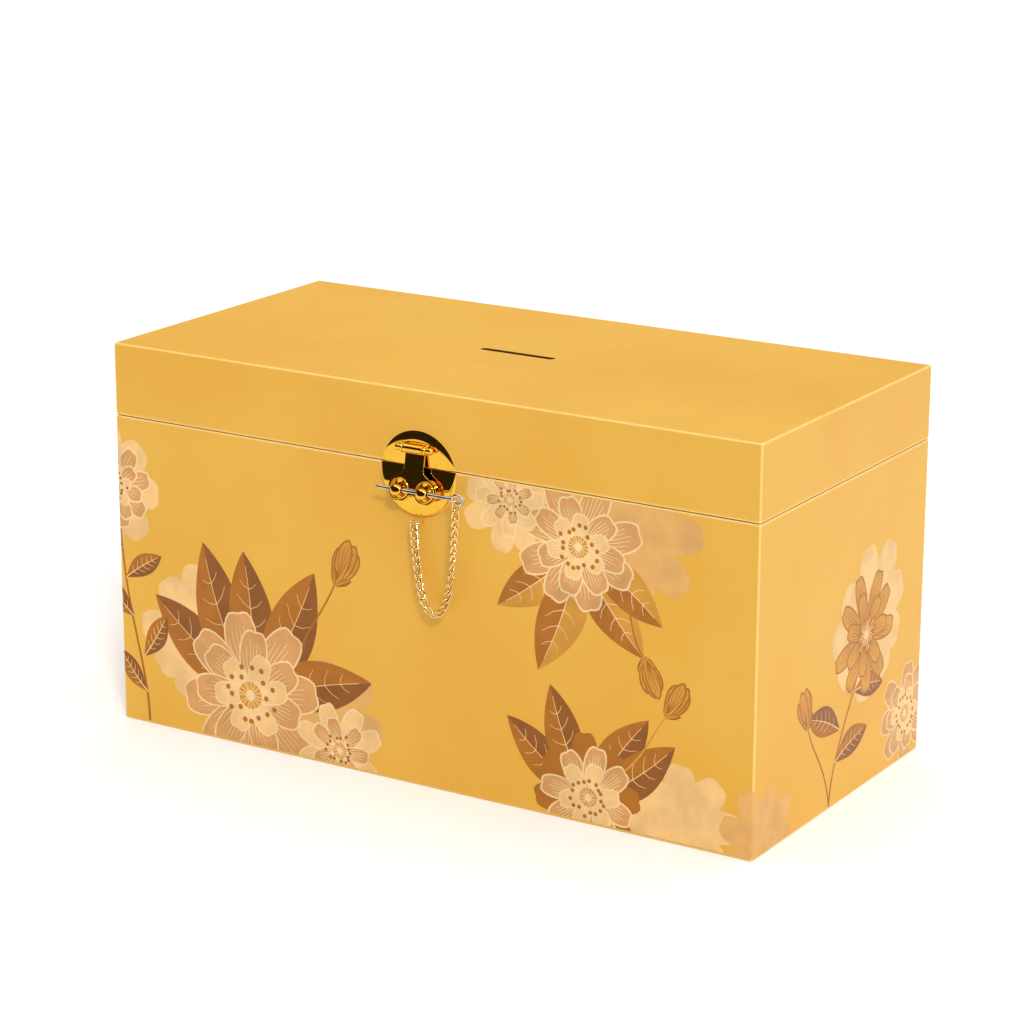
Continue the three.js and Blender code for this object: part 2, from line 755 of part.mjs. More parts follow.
function rearHinges() {
  const group = new THREE.Group();
  for (const [sideName, side] of Object.entries(hingeSides)) {
    const axis = [side * hingeSpread / 2, hingeAxisY, seamHeight];
    for (const wallOf of Object.keys(leafUp)) {
      const up = leafUp[wallOf];
      piece(group, `${sideName}_hinge_${wallOf}_leaf`, hingeLeaf(wallOf), hingeBrass(), axis);
      for (const [endName, end] of Object.entries(screwSides)) {
        const name = `${sideName}_hinge_${wallOf}_screw_${endName}`;
        const screw = piece(group, name, screwForm(0, 0), hingeBrass(), screwPlace(side, end, up));
        screw.rotation.x = up > 0 ? Math.PI : 0;
      }
    }
    piece(group, `${sideName}_hinge_pin`, hingePin(), hingeBrass(), axis);
  }
  return group;
}

function pinAndChain() {
  const group = new THREE.Group();
  piece(group, 'locking_pin', lockingPin(), pinSteel(), [0, pinAxisY, knobZ]);
  const joints = chainJoints();
  const link = curbLink();
  for (let k = 0; k < linkCount; k += 1) {
    const name = `chain_link_${String(k + 1).padStart(2, '0')}`;
    const mesh = piece(group, name, link.clone(), chainBrass());
    placeLink(mesh, joints[k], joints[k + 1], linkRoll((k + 0.5) / linkCount));
  }
  return group;
}

const cardBox = new THREE.Group();
cardBox.add(boxBody(), boxLid(), rearHinges(), pinAndChain());

export default cardBox;
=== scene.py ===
"""Lacquered card box with a slotted lid, a round hasp latch, a split locking pin and its chain."""

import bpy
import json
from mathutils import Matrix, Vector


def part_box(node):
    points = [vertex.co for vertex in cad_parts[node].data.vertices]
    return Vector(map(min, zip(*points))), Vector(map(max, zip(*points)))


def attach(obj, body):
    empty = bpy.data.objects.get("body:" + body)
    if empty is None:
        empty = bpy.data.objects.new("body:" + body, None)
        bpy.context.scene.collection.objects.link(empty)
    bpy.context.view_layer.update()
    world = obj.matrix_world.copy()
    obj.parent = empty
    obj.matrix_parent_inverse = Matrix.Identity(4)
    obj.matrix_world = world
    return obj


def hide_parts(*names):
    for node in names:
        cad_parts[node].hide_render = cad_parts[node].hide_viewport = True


bl_info = {
    "name": "Lacquered Card Box",
    "version": (1, 0, 0),
    "blender": (4, 5, 0),
    "location": "3D View > Sidebar > Card Box",
    "description": "Lacquered walls and lid, printed sprays, brass latch, split pin, chain and rear hinges",
    "category": "Object",
}

import cmath
import json
import math
import random
from types import SimpleNamespace

import bmesh
import bpy
from bpy.props import FloatProperty, FloatVectorProperty, IntProperty, PointerProperty
from mathutils import Matrix, Vector
from mathutils.geometry import delaunay_2d_cdt

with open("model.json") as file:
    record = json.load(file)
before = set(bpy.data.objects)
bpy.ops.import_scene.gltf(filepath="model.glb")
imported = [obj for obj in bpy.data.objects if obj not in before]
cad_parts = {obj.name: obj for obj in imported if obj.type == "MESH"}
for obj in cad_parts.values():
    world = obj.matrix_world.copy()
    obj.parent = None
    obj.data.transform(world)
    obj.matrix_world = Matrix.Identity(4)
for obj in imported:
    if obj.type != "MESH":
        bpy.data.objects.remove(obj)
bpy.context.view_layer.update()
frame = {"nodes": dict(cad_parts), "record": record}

MM = 0.001
TURN = 2 * math.pi
WELD = 0.0005 * MM
SHARP = math.radians(35)
WALLS = ("front", "right", "back", "left")
FIRST_SEED = 5
KEY_FROM = Vector((0.55, -0.575, 0.605))
LOOKED_AT = Vector((-3.4463 * MM, 0, 137.5142 * MM))


def tone(red, green, blue):
    """Linear colour of a display colour given from 0 to 255."""
    shares = [value / 255 for value in (red, green, blue)]
    return tuple(s / 12.92 if s <= 0.04045 else ((s + 0.055) / 1.055) ** 2.4 for s in shares)


def scaled(tint, factor):
    """A colour made lighter or darker."""
    return tuple(factor * value for value in tint)


def evenly(count):
    """Numbers from 0 to 1 in equal steps."""
    return [k / count for k in range(count + 1)]


def look(name):
    """One group of the scene's sizes and colours."""
    return getattr(bpy.context.scene, "card_box_" + name)


def number(name, description, default, **kind):
    return FloatProperty(name=name, description=description, default=default, **kind)


def length(name, description, default):
    return number(name, description, default, unit="LENGTH", precision=5)


def degrees(name, description, default):
    return number(name, description, math.radians(default), subtype="ANGLE")


def share(name, description, default):
    return number(name, description, default, subtype="FACTOR")


def colour(name, description, default):
    return FloatVectorProperty(
        name=name, description=description, default=default, size=3, subtype="COLOR", min=0, max=1
    )


# Sizes and colours


class CardBoxShell(bpy.types.PropertyGroup):
    """The lacquered walls and lid."""

    edge: length("Edge", "Radius of the outer edges", 1.2 * MM)
    rim: length("Rim", "Radius of the edges along the seam", 0.5 * MM)
    slot_length: length("Slot length", "Length of the card slot", 50 * MM)
    slot_width: length("Slot width", "Width of the card slot", 5 * MM)
    slot_lip: length("Slot lip", "Radius of the card slot's edges", 0.4 * MM)
    peel: length("Orange peel", "Width of one dimple of the sprayed lacquer", 2.2 * MM)
    lacquer: colour("Lacquer", "Colour of the outer lacquer", tone(231, 178, 68))
    deep: colour("Deep lacquer", "Colour where the lacquer lies thicker", tone(228, 171, 60))
    # The edge colour is a painted highlight along the outer edges.
    edge_highlight: colour("Edge", "Colour where the lacquer is thin on an edge", tone(253, 217, 140))
    inner: colour("Inner lacquer", "Colour of the inside", tone(205, 150, 62))
    # The slot colour is painted shade: a dark brown that stands in for the shade inside the card slot.
    stain: colour("Slot stain", "Colour inside the card slot", tone(104, 60, 22))
    gloss: share("Roughness", "Roughness of the outer lacquer", 0.38)


class CardBoxPrint(bpy.types.PropertyGroup):
    """The printed sprays."""

    line: length("Line", "Width of the drawn outlines", 1.3 * MM)
    vein: length("Vein", "Width of the drawn petal veins", 0.6 * MM)
    film: length("Film", "Thickness of the ink on the lacquer", 0.05 * MM)
    cream: colour("Cream", "Colour of the pale lines", tone(238, 204, 150))
    tan: colour("Tan", "Colour of the drawn petals", tone(212, 154, 92))
    peach: colour("Peach", "Colour of the pale petals and shadows", tone(236, 192, 126))
    rose: colour("Rose", "Colour of the deeper shadows", tone(222, 168, 96))
    ochre: colour("Ochre", "Colour of the buds", tone(208, 146, 50))
    brown: colour("Brown", "Colour of the leaves and stems", tone(172, 104, 20))
    umber: colour("Umber", "Colour of the leaf halves in shade", tone(140, 82, 24))


class CardBoxLatch(bpy.types.PropertyGroup):
    """The round plate, the flap and its rod, the knobs and the rod's staples."""

    plate_edge: length("Plate edge", "Thickness of the plates at their rim and seam", 0.12 * MM)
    plate_flat: length("Plate flat", "Radius of the upper plate's flat middle", 19 * MM)
    plate_slope: share("Plate slope", "Slope of the upper plate's rim", 0.17)
    plate_curl: length("Plate curl", "Further fall of the rim where it curls over", 0.42 * MM)
    sink: length("Sink", "Height over which the lower plate falls in towards the seam", 11 * MM)
    sink_slope: share("Sink slope", "Slope of that fall", 0.19)
    barrel: length("Barrel", "Radius of the flap's rolled barrel", 2.7 * MM)
    sheet: length("Sheet", "Thickness of the flap", 1.5 * MM)
    lean: degrees("Lean", "Lean of the flap", 10)
    neck: length("Neck", "Length of the flap's neck below its axis", 11.5 * MM)
    lobe: length("Lobe", "Radius of the flap's lobes", 7.4 * MM)
    hole: length("Hole", "Radius of a lobe's hole", 5.3 * MM)
    bead: length("Bead", "Radius of the raised rim round a hole", 0.55 * MM)
    head_length: length("Knob length", "Length of a knob's head along the pin", 8.2 * MM)
    head: length("Knob thickness", "Thickness of a knob's head", 6.6 * MM)
    bore: length("Bore", "Radius of a knob's bore", 1.7 * MM)
    stem: length("Stem", "Radius of a knob's stem", 2.4 * MM)
    foot: length("Foot", "Radius of a knob's foot", 6 * MM)
    shank: length("Shank", "Radius of a knob's shank in the wall", 1.6 * MM)
    rivet: length("Rivet", "Height of the rivet inside the wall", 1.4 * MM)
    ball: length("Ball", "Radius of the rod's balls", 2.1 * MM)
    rod: length("Rod", "Radius of the flap's rod", 0.9 * MM)
    gap: length("Gap", "Running clearance of the moving pieces", 0.3 * MM)
    tail: length("Tail", "Length of a staple's bent tail inside the wall", 5 * MM)
    brass: colour("Brass", "Colour of the polished brass", tone(232, 180, 62))
    brass_deep: colour("Deep brass", "Colour of the brass where it has darkened", tone(205, 142, 38))


class CardBoxChain(bpy.types.PropertyGroup):
    """The split pin and the chain."""

    pin: length("Pin", "Radius of the split pin", 1.1 * MM)
    slit: length("Slit", "Gap between the pin's two legs", 0.3 * MM)
    point: length("Point", "Length of the pin's point", 3 * MM)
    eye_length: length("Eye length", "Length of the pin's oval eye, between wire middles", 6.8 * MM)
    eye_height: length("Eye height", "Height of the pin's oval eye, between wire middles", 5 * MM)
    eye_wire: length("Eye wire", "Thickness of the eye", 1.8 * MM)
    hook: length("Hook", "Distance of the last link from the eye's middle", 1.2 * MM)
    wire: length("Link wire", "Thickness of a link's wire", 1.1 * MM)
    width: length("Link width", "Width of a link", 4.7 * MM)
    pitch: length("Link pitch", "Length of chain that a link adds", 5 * MM)
    play: length("Link play", "Play between two links", 0.6 * MM)
    twist: degrees("Twist", "Twist of a link each way", 45)
    count: IntProperty(name="Links", description="Number of links", default=26, subtype="UNSIGNED")
    steel: colour("Steel", "Colour of the pin", tone(205, 203, 200))
    pale: colour("Pale brass", "Colour of the chain", tone(240, 212, 150))


class CardBoxStage(bpy.types.PropertyGroup):
    """The floor, lights and camera."""

    azimuth: degrees("Azimuth", "Camera's turn to the right of the front", 31.868)
    elevation: degrees("Elevation", "Camera's height angle", 16.186)
    roll: degrees("Roll", "Camera's roll", 0.189)
    distance: length("Distance", "Camera's distance from the point it looks at", 1.87638)
    lens: number("Lens", "Focal length in millimetres", 111.797, unit="CAMERA")
    floor: colour("Floor", "Colour of the floor", (0.93, 0.93, 0.925))
    backdrop: colour("Backdrop", "Colour behind the floor", (1.0, 1.0, 1.0))
    light: colour("Studio light", "Colour of the studio's soft light", (1.0, 0.98, 0.95))
    side: share("Side", "Brightness of the soft light from the back", 0.26)
    above: share("Above", "Brightness of the soft light from above", 1.88)
    panel: share("Panel", "Brightness of the soft light panel on the right", 0.5)
    gleam: share("Gleam", "Brightness of the panel that the metal shows", 3.2)
    key: number("Key", "Strength of the key light in watts per square metre", 1.5, unit="POWER")
    softness: degrees("Softness", "Width of the key light", 9)
    shade: colour("Studio shade", "Colour of the studio's dark side", (0.03, 0.025, 0.022))
    line: colour("Floor line", "Colour of the pale line at the floor's end", (0.9, 0.66, 0.56))
    reach: length("Floor reach", "Radius of the floor", 6.0)


# Shader expressions


def maths(operation, reflected=False):
    """An operator that adds a Math node. A reflected one takes its two values the other way round."""

    def operate(wire, *other):
        values = (*other, wire) if reflected else (wire, *other)
        return wire.finish.node("ShaderNodeMath", {"operation": operation}, dict(enumerate(values)))

    return operate


class Wire:
    """A shader socket that turns sums and products into Math nodes."""

    __add__, __radd__ = maths("ADD"), maths("ADD", True)
    __sub__, __rsub__ = maths("SUBTRACT"), maths("SUBTRACT", True)
    __mul__, __rmul__ = maths("MULTIPLY"), maths("MULTIPLY", True)
    __abs__ = maths("ABSOLUTE")

    def __init__(self, finish, socket):
        self.finish = finish
        self.socket = socket


class Finish:
    """A material, or the studio's surroundings, written as expressions on its sockets."""

    def __init__(self, owner, constants, surface="Principled BSDF", place="Object"):
        self.material = bpy.data.materials.new(owner) if isinstance(owner, str) else owner
        self.material.use_nodes = True
        self.tree = self.material.node_tree
        self.surface = self.tree.nodes[surface]
        for socket, value in constants.items():
            self.surface.inputs[socket].default_value = value
        self.place = self.node("ShaderNodeTexCoord", output=place)

    def node(self, kind, settings=None, inputs=None, output=0):
        """Adds a node, sets its settings and then its sockets, and gives back one of its outputs."""
        made = self.tree.nodes.new(kind)
        for name, value in (settings or {}).items():
            setattr(made, name, value)
        for name, value in (inputs or {}).items():
            self.feed(made.inputs[name], value)
        return Wire(self, made.outputs[output])

    def feed(self, socket, value):
        if isinstance(value, Wire):
            self.tree.links.new(value.socket, socket)
        else:
            socket.default_value = value

    def grain(self, size, detail=2.0, stretch=(1, 1, 1)):
        """Noise from 0 to 1 with features of about the given size, drawn out by stretch."""
        scale = tuple(1 / (size * s) for s in stretch)
        spread = self.node("ShaderNodeVectorMath", {"operation": "MULTIPLY"}, {0: self.place, 1: scale})
        return self.node("ShaderNodeTexNoise", {}, {"Vector": spread, "Scale": 1.0, "Detail": detail})

    def step(self, value, low, high):
        """Smooth step of a value from 0 at low to 1 at high."""
        ranged = {"Value": value, "From Min": low, "From Max": high}
        return self.node("ShaderNodeMapRange", {"interpolation_type": "SMOOTHSTEP"}, ranged)

    def blend(self, factor, first, second):
        """Mix of two colours, each a socket or (red, green, blue)."""
        first, second = (tint if isinstance(tint, Wire) else (*tint, 1.0) for tint in (first, second))
        inputs = {0: factor, 6: first, 7: second}
        return self.node("ShaderNodeMix", {"data_type": "RGBA", "clamp_factor": True}, inputs, 2)

    def axis(self, index):
        return self.node("ShaderNodeSeparateXYZ", {}, {0: self.place}, index)

    def paint(self, base, rough, height=None):
        """Feeds the surface's colour, its roughness and the bump made by a height in metres."""
        self.feed(self.surface.inputs["Base Color"], base)
        self.feed(self.surface.inputs["Roughness"], rough)
        if height is not None:
            bump = self.node("ShaderNodeBump", {}, {"Height": height, "Distance": 1.0, "Strength": 1.0})
            self.feed(self.surface.inputs["Normal"], bump)
        return self.material


def kept(maker):
    """Makes a finish once and gives the same material from then on."""
    made = {}

    def give(*values):
        if values not in made:
            made[values] = maker(*values)
        return made[values]

    return give


def coat(finish, colours):
    """Paints sprayed lacquer: an uneven gloss, and fine orange peel over slow waves."""
    shell = look("shell")
    rough = shell.gloss + (finish.grain(14 * MM, 3.0) - 0.5) * 0.12
    peel = finish.grain(shell.peel, 1.0) * (0.012 * MM)
    waves = finish.grain(9 * shell.peel, 1.0) * (0.05 * MM)
    return finish.paint(colours, rough, peel + waves)


def edge_mask(finish, low, high, width):
    """1 along the edges of a box, fading over the given width, from the distances to its faces."""
    near = []
    for index in range(3):
        middle = (low[index] + high[index]) / 2
        half = (high[index] - low[index]) / 2
        near.append(finish.step(abs(finish.axis(index) - middle), half - width, half))
    return near[0] * near[1] + near[1] * near[2] + near[0] * near[2]


@kept
def lacquer(low, high):
    """Outer lacquer between two corners of a box: clouded, dimpled, with a painted highlight along the
    edges.
    """
    shell = look("shell")
    finish = Finish("satin_lacquer", {"Specular IOR Level": 0.28})
    cloud = finish.step(finish.grain(90 * MM, 3.0), 0.35, 0.7)
    colours = finish.blend(cloud, shell.lacquer, shell.deep)
    # Painted highlight: the lighter edge colour laid along the edges, broken up a little by noise.
    highlight_mask = edge_mask(finish, low, high, 1.5 * MM) * finish.step(finish.grain(7 * MM, 4.0), 0.1, 0.45)
    return coat(finish, finish.blend(highlight_mask, colours, shell.edge_highlight))


@kept
def board(name):
    """Board whose fibres show: under the flat inner lacquer, or darkened with painted shade in the card
    slot.
    """
    shell = look("shell")
    tint, specular, darker, size, stretch, low, high, rough, depth = {
        "inner_lacquer": (shell.inner, 0.35, 0.86, 0.8 * MM, (14, 1, 1), 0.35, 0.75, 0.62, 0.03 * MM),
        # The slot's dark tint and its darker fibres are painted shade.
        "slot_stain": (shell.stain, 0.3, 0.6, 0.7 * MM, (10, 10, 1), 0.3, 0.7, 0.75, 0.05 * MM),
    }[name]
    finish = Finish(name, {"Specular IOR Level": specular})
    fibre = finish.grain(size, 3.0, stretch)
    colours = finish.blend(finish.step(fibre, low, high), tint, scaled(tint, darker))
    return finish.paint(colours, rough + (fibre - 0.5) * 0.2, fibre * depth)


@kept
def ink(name):
    """Printed ink under the lacquer's own dimples, a little uneven in tone."""
    tint = getattr(look("print"), name)
    light = scaled(tint, 1.10)
    finish = Finish("ink_" + name, {"Specular IOR Level": 0.28})
    drift = finish.step(finish.grain(16 * MM, 3.0), 0.3, 0.7)
    colours = finish.blend(drift, light, scaled(tint, 0.92))
    speckle = finish.step(finish.grain(0.35 * MM, 1.0), 0.55, 0.75)
    return coat(finish, finish.blend(speckle * 0.18, colours, light))


@kept
def metal(name):
    """Metal with soft stains, hairline scratches and an uneven polish, all scaled by its wear."""
    latch, chain = look("latch"), look("chain")
    bright, dull, rough, wear, scratch = {
        "polished_brass": (latch.brass, latch.brass_deep, 0.03, 0.3, (1, 1, 18)),
        "hinge_brass": (latch.brass_deep, tone(150, 104, 40), 0.2, 1.0, (24, 1, 1)),
        "pale_brass": (chain.pale, tone(196, 150, 84), 0.035, 0.3, (1, 1, 6)),
        "pin_steel": (chain.steel, tone(140, 138, 134), 0.12, 0.8, (20, 1, 1)),
    }[name]
    finish = Finish(name, {"Metallic": 1.0})
    # Random stains that dull the metal.
    stain = finish.step(finish.grain(6 * MM, 4.0), 0.45, 0.8)
    hair = finish.grain(0.12 * MM, 2.0, scratch)
    colours = finish.blend(stain * wear, bright, dull)
    polish = rough + stain * (0.08 * wear) + finish.step(hair, 0.62, 0.8) * (0.06 * wear)
    height = hair * (0.0012 * wear * MM) + finish.grain(3 * MM, 1.0) * (0.006 * MM)
    return finish.paint(colours, polish, height)


# Mesh building


def skin(bm, rows, closed=True):
    """Faces between rings of points. The last ring meets the first if closed."""
    made = [[bm.verts.new(point) for point in row] for row in rows]
    for first, second in zip(made, made[1:] + (made[:1] if closed else [])):
        for k in range(len(first)):
            j = (k + 1) % len(first)
            bm.faces.new((first[k], first[j], second[j], second[k]))
    return made


def tube(bm, rows):
    """An open skin with a face over each end."""
    made = skin(bm, rows, closed=False)
    bm.faces.new(made[0])
    bm.faces.new(made[-1])


def arc(centre, radius, start, end, steps):
    """Points of an arc in a plane, from one angle to another."""
    angles = [start + (end - start) * k / steps for k in range(steps + 1)]
    return [(centre[0] + radius * math.cos(a), centre[1] + radius * math.sin(a)) for a in angles]


def filleted(corners, steps=4):
    """Points of a profile whose corners (x, y, radius) are rounded."""
    points = []
    for k, (x, y, radius) in enumerate(corners):
        if radius == 0:
            points.append((x, y))
            continue
        here = Vector((x, y))
        back = (Vector(corners[k - 1][:2]) - here).normalized()
        ahead = (Vector(corners[(k + 1) % len(corners)][:2]) - here).normalized()
        half = back.angle(ahead) / 2
        centre = here + (back + ahead).normalized() * (radius / math.sin(half))
        start = here + back * (radius / math.tan(half)) - centre
        end = here + ahead * (radius / math.tan(half)) - centre
        first = math.atan2(start.y, start.x)
        turn = (math.atan2(end.y, end.x) - first + math.pi) % TURN - math.pi
        points += arc(centre, radius, first, first + turn, steps)
    return points


def sweep(bm, path, section, closed=False):
    """Carries a section along a path without twisting it. The section's points are (side, up) pairs."""
    line = [path[-1], *path, path[0]] if closed else [path[0], *path, path[-1]]
    up = None
    rows = []
    for before, point, after in zip(line, path, line[2:]):
        along = (after - before).normalized()
        if up is None:
            up = along.orthogonal()
        up = (up - along * up.dot(along)).normalized()
        side = along.cross(up)
        rows.append([point + side * x + up * y for x, y in section])
    if closed:
        skin(bm, rows)
    else:
        tube(bm, rows)


def circle(radius, sides):
    return arc((0, 0), radius, 0, TURN, sides)[:-1]


def turned(bm, profile, place, axis, facets):
    """Turns a profile of (radius, along) pairs about an axis through place."""
    axis = Vector(axis)
    first = axis.orthogonal().normalized()
    second = axis.cross(first)
    rows = []
    for k in range(facets):
        angle = TURN * k / facets
        out = first * math.cos(angle) + second * math.sin(angle)
        rows.append([place + out * r + axis * a for r, a in profile])
    skin(bm, rows)


def outline(half_x, half_y, radius, steps=6):
    """Points of a rounded rectangle, counter-clockwise from its front side's right end."""
    points = []
    for index, (x, y) in enumerate(((1, -1), (1, 1), (-1, 1), (-1, -1))):
        centre = (x * (half_x - radius), y * (half_y - radius))
        points += arc(centre, radius, (index - 1) * TURN / 4, index * TURN / 4, steps)
    return points


def stadium(half_length, half_width, steps=8):
    """Points of a slot with round ends."""
    reach = half_length - half_width
    right = arc((reach, 0), half_width, -TURN / 4, TURN / 4, steps)
    return right + arc((-reach, 0), half_width, TURN / 4, 3 * TURN / 4, steps)


def mesh_of(name, bm):
    mesh = bpy.data.meshes.new(name)
    bm.to_mesh(mesh)
    bm.free()
    return mesh


def placed(name, data):
    made = bpy.data.objects.new(name, data)
    bpy.context.scene.collection.objects.link(made)
    return made


def piece(name, bm, finishes, body, nodes=(), solid=True):
    """Makes an object of a mesh, smooth up to an angle, that rides on a body and stands for its nodes."""
    if solid:
        bmesh.ops.remove_doubles(bm, verts=bm.verts, dist=WELD)
        bmesh.ops.recalc_face_normals(bm, faces=bm.faces)
    mesh = mesh_of(name, bm)
    for face in mesh.polygons:
        face.use_smooth = True
    mesh.set_sharp_from_angle(angle=SHARP)
    for finish in finishes:
        mesh.materials.append(finish)
    made = placed(name, mesh)
    made.modifiers.new("even_shading", "WEIGHTED_NORMAL").keep_sharp = True
    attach(made, body)
    if nodes:
        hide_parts(*nodes)
    return made


def fitting(name, bm, finish, body, node):
    """Makes a metal piece that stands for one node."""
    piece(name, bm, [metal(finish)], body, [node])


def dress(node, finish):
    """Gives a node that stays in view its finish."""
    node.data.materials.clear()
    node.data.materials.append(finish)


def carve(made, boxes):
    """Cuts box-shaped pockets, given as (low, high) corners, out of a piece."""
    tools = []
    for low, high in boxes:
        bm = bmesh.new()
        bmesh.ops.create_cube(bm, size=1.0)
        middle = (Vector(low) + Vector(high)) / 2
        for vert in bm.verts:
            vert.co = middle + Vector(v * (h - l) for v, l, h in zip(vert.co, low, high))
        tools.append(placed("pocket", mesh_of("pocket", bm)))
        cut = made.modifiers.new("pocket", "BOOLEAN")
        cut.object = tools[-1]
        cut.solver = "EXACT"
    weighted = made.modifiers["even_shading"]
    weighted.show_viewport = False
    bpy.context.view_layer.update()
    graph = bpy.context.evaluated_depsgraph_get()
    mesh = bpy.data.meshes.new_from_object(made.evaluated_get(graph))
    mesh.set_sharp_from_angle(angle=SHARP)
    for modifier in [m for m in made.modifiers if m.type == "BOOLEAN"]:
        made.modifiers.remove(modifier)
    made.data = mesh
    weighted.show_viewport = True
    for tool in tools:
        bpy.data.objects.remove(tool)


# Places that follow from the frame


@kept
def box_sizes():
    """Half width, half depth, top, ceiling, lid bottom, body top and wall thickness of the box."""
    low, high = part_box("lid_top")
    return SimpleNamespace(
        half_x=high.x,
        half_y=high.y,
        top=high.z,
        ceiling=low.z,
        lid_bottom=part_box("lid_front_rail")[0].z,
        body_top=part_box("body_front")[1].z,
        wall=high.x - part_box("body_floor")[1].x,
    )


def middle_of(node):
    low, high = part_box(node)
    return (low + high) / 2


def walls(corners, closed):
    """Mesh and rings of four walls with a profile of (inset, height, radius), inner faces marked."""
    size = box_sizes()
    edge = look("shell").edge
    rows = []
    for inset, z in filleted(corners):
        corner = max(edge - inset, 0.15 * MM)
        rows.append([(x, y, z) for x, y in outline(size.half_x - inset, size.half_y - inset, corner)])
    bm = bmesh.new()
    rings = skin(bm, rows, closed)
    for face in bm.faces:
        middle = face.calc_center_median()
        inside = abs(middle.x) < size.half_x - 0.8 * size.wall
        if inside and abs(middle.y) < size.half_y - 0.8 * size.wall:
            face.material_index = 1
    return bm, rings


def hinge_pockets(name, up):
    """Pockets in the rear edge for the hinge leaves of the body (up -1) or the lid (up 1)."""
    size = box_sizes()
    seam = (size.body_top + size.lid_bottom) / 2
    bottom, top = sorted((seam, seam + up * 1.55 * MM))
    room = 0.2 * MM
    boxes = []
    for side in ("left", "right"):
        low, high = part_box(f"{side}_hinge_{name}_leaf")
        boxes.append((
            (low.x - room, size.half_y - 7 * MM - room, bottom),
            (high.x + room, size.half_y + 2 * MM, top),
        ))
    return boxes


def shell_piece(name, body, up, bm, heights, nodes, *more):
    """Makes a shell of lacquered walls between two heights, with pockets for its hinge leaves."""
    size = box_sizes()
    low, high = ((way * size.half_x, way * size.half_y, z) for way, z in zip((-1, 1), heights))
    finishes = [lacquer(low, high), board("inner_lacquer"), *more]
    made = piece(name + "_shell", bm, finishes, body, nodes)
    carve(made, hinge_pockets(name, up))


# Operators


class CARDBOX_OT_body(bpy.types.Operator):
    """Make the four walls as one lacquered shell and finish the floor panel"""

    bl_idname = "card_box.body"
    bl_label = "Body"

    def execute(self, context):
        shell = look("shell")
        size = box_sizes()
        bm, _ = walls([
            (0, 0, shell.edge),
            (0, size.body_top, shell.rim),
            (size.wall, size.body_top, shell.rim),
            (size.wall, 0, 0),
        ], closed=True)
        nodes = [f"body_{side}" for side in WALLS]
        shell_piece("body", "box", -1, bm, (0, size.body_top), nodes)
        dress(frame["nodes"]["body_floor"], board("inner_lacquer"))
        return {"FINISHED"}


class CARDBOX_OT_lid(bpy.types.Operator):
    """Make the lid as one lacquered shell with the card slot"""

    bl_idname = "card_box.lid"
    bl_label = "Lid"

    def execute(self, context):
        shell = look("shell")
        size = box_sizes()
        bm, rings = walls([
            (size.wall, size.ceiling, 0),
            (size.wall, size.lid_bottom, shell.rim),
            (0, size.lid_bottom, shell.rim),
            (0, size.top, shell.edge),
            (3 * shell.edge, size.top, 0),
        ], closed=False)
        lip = shell.slot_lip
        rows = []
        for grow, z in filleted([
            (2 * lip, size.top, 0), (0, size.top, lip), (0, size.ceiling, lip), (2 * lip, size.ceiling, 0)
        ]):
            ring = stadium(shell.slot_length / 2 + grow, shell.slot_width / 2 + grow)
            rows.append([(x, y, z) for x, y in ring])
        before = set(bm.faces)
        slot = skin(bm, rows, closed=False)
        # Slot walls below the lip take the painted shade.
        for face in set(bm.faces) - before:
            if face.calc_center_median().z < size.top - 0.6 * lip:
                face.material_index = 2
        for pair, index in (((rings[-1], slot[0]), 0), ((rings[0], slot[-1]), 1)):
            edges = [bm.edges.get((ring[k - 1], ring[k])) for ring in pair for k in range(len(ring))]
            filled = bmesh.ops.triangle_fill(bm, edges=edges, use_beauty=True)
            for face in [g for g in filled["geom"] if isinstance(g, bmesh.types.BMFace)]:
                face.material_index = index
        nodes = ["lid_top", *(f"lid_{side}_rail" for side in WALLS)]
        shell_piece("lid", "lid", 1, bm, (size.lid_bottom, size.top), nodes, board("slot_stain"))
        return {"FINISHED"}


def unrolled():
    """Half the flat front's and side's lengths, and the radius and length of the bend between them."""
    size = box_sizes()
    edge = look("shell").edge
    return (size.half_x - edge, size.half_y - edge), edge, edge * TURN / 4


def on_walls(s, z, proud):
    """Place of a point of the unrolled walls: s runs to the right from the middle of the front."""
    reach, edge, bend = unrolled()
    side = 0
    while not -reach[side % 2] <= s <= reach[side % 2] + bend:
        way = 1 if s > 0 else -1
        s -= way * (reach[side % 2] + bend + reach[(side + 1) % 2])
        side += way
    turn = side * TURN / 4
    angle = turn + max(0.0, s - reach[side % 2]) / edge
    x, y = min(s, reach[side % 2]), -reach[(side + 1) % 2]
    x, y = x * math.cos(turn) - y * math.sin(turn), x * math.sin(turn) + y * math.cos(turn)
    return Vector((x + (edge + proud) * math.sin(angle), y - (edge + proud) * math.cos(angle), z))


def corner_lines():
    """Distances along the unrolled walls where the corners bend, with steps inside each bend."""
    reach, _, bend = unrolled()
    starts = [reach[0], reach[0] + bend + 2 * reach[1]]
    starts += [-start - bend for start in starts]
    return [start + bend * k / 4 for start in starts for k in range(5)]


def petal_outline(long, width, notch, steps=26):
    """Round petal from its base at 0 along the real axis, with a dent in its tip."""
    points = []
    for k in range(steps):
        angle = TURN * k / steps
        tip = math.exp(-((min(angle, TURN - angle) / 0.34) ** 2))
        along = long * (0.5 + 0.5 * math.cos(angle) - notch * tip)
        points.append(complex(along, width / 2 * math.sin(angle) * (0.76 + 0.24 * math.cos(angle))))
    return points


def leaf_outline(long, width):
    """Pointed leaf from its base at 0 along the real axis."""
    upper = [complex(long * t, width / 2 * math.sin(math.pi * t ** 1.12) ** 0.9) for t in evenly(16)]
    return upper[::-1] + [p.conjugate() for p in upper[1:-1]]


def bezier(a, b, c, d, shares):
    """Points of a Bezier curve from a to d."""
    return [
        a * (1 - t) ** 3 + 3 * b * t * (1 - t) ** 2 + 3 * c * t * t * (1 - t) + d * t ** 3
        for t in shares
    ]


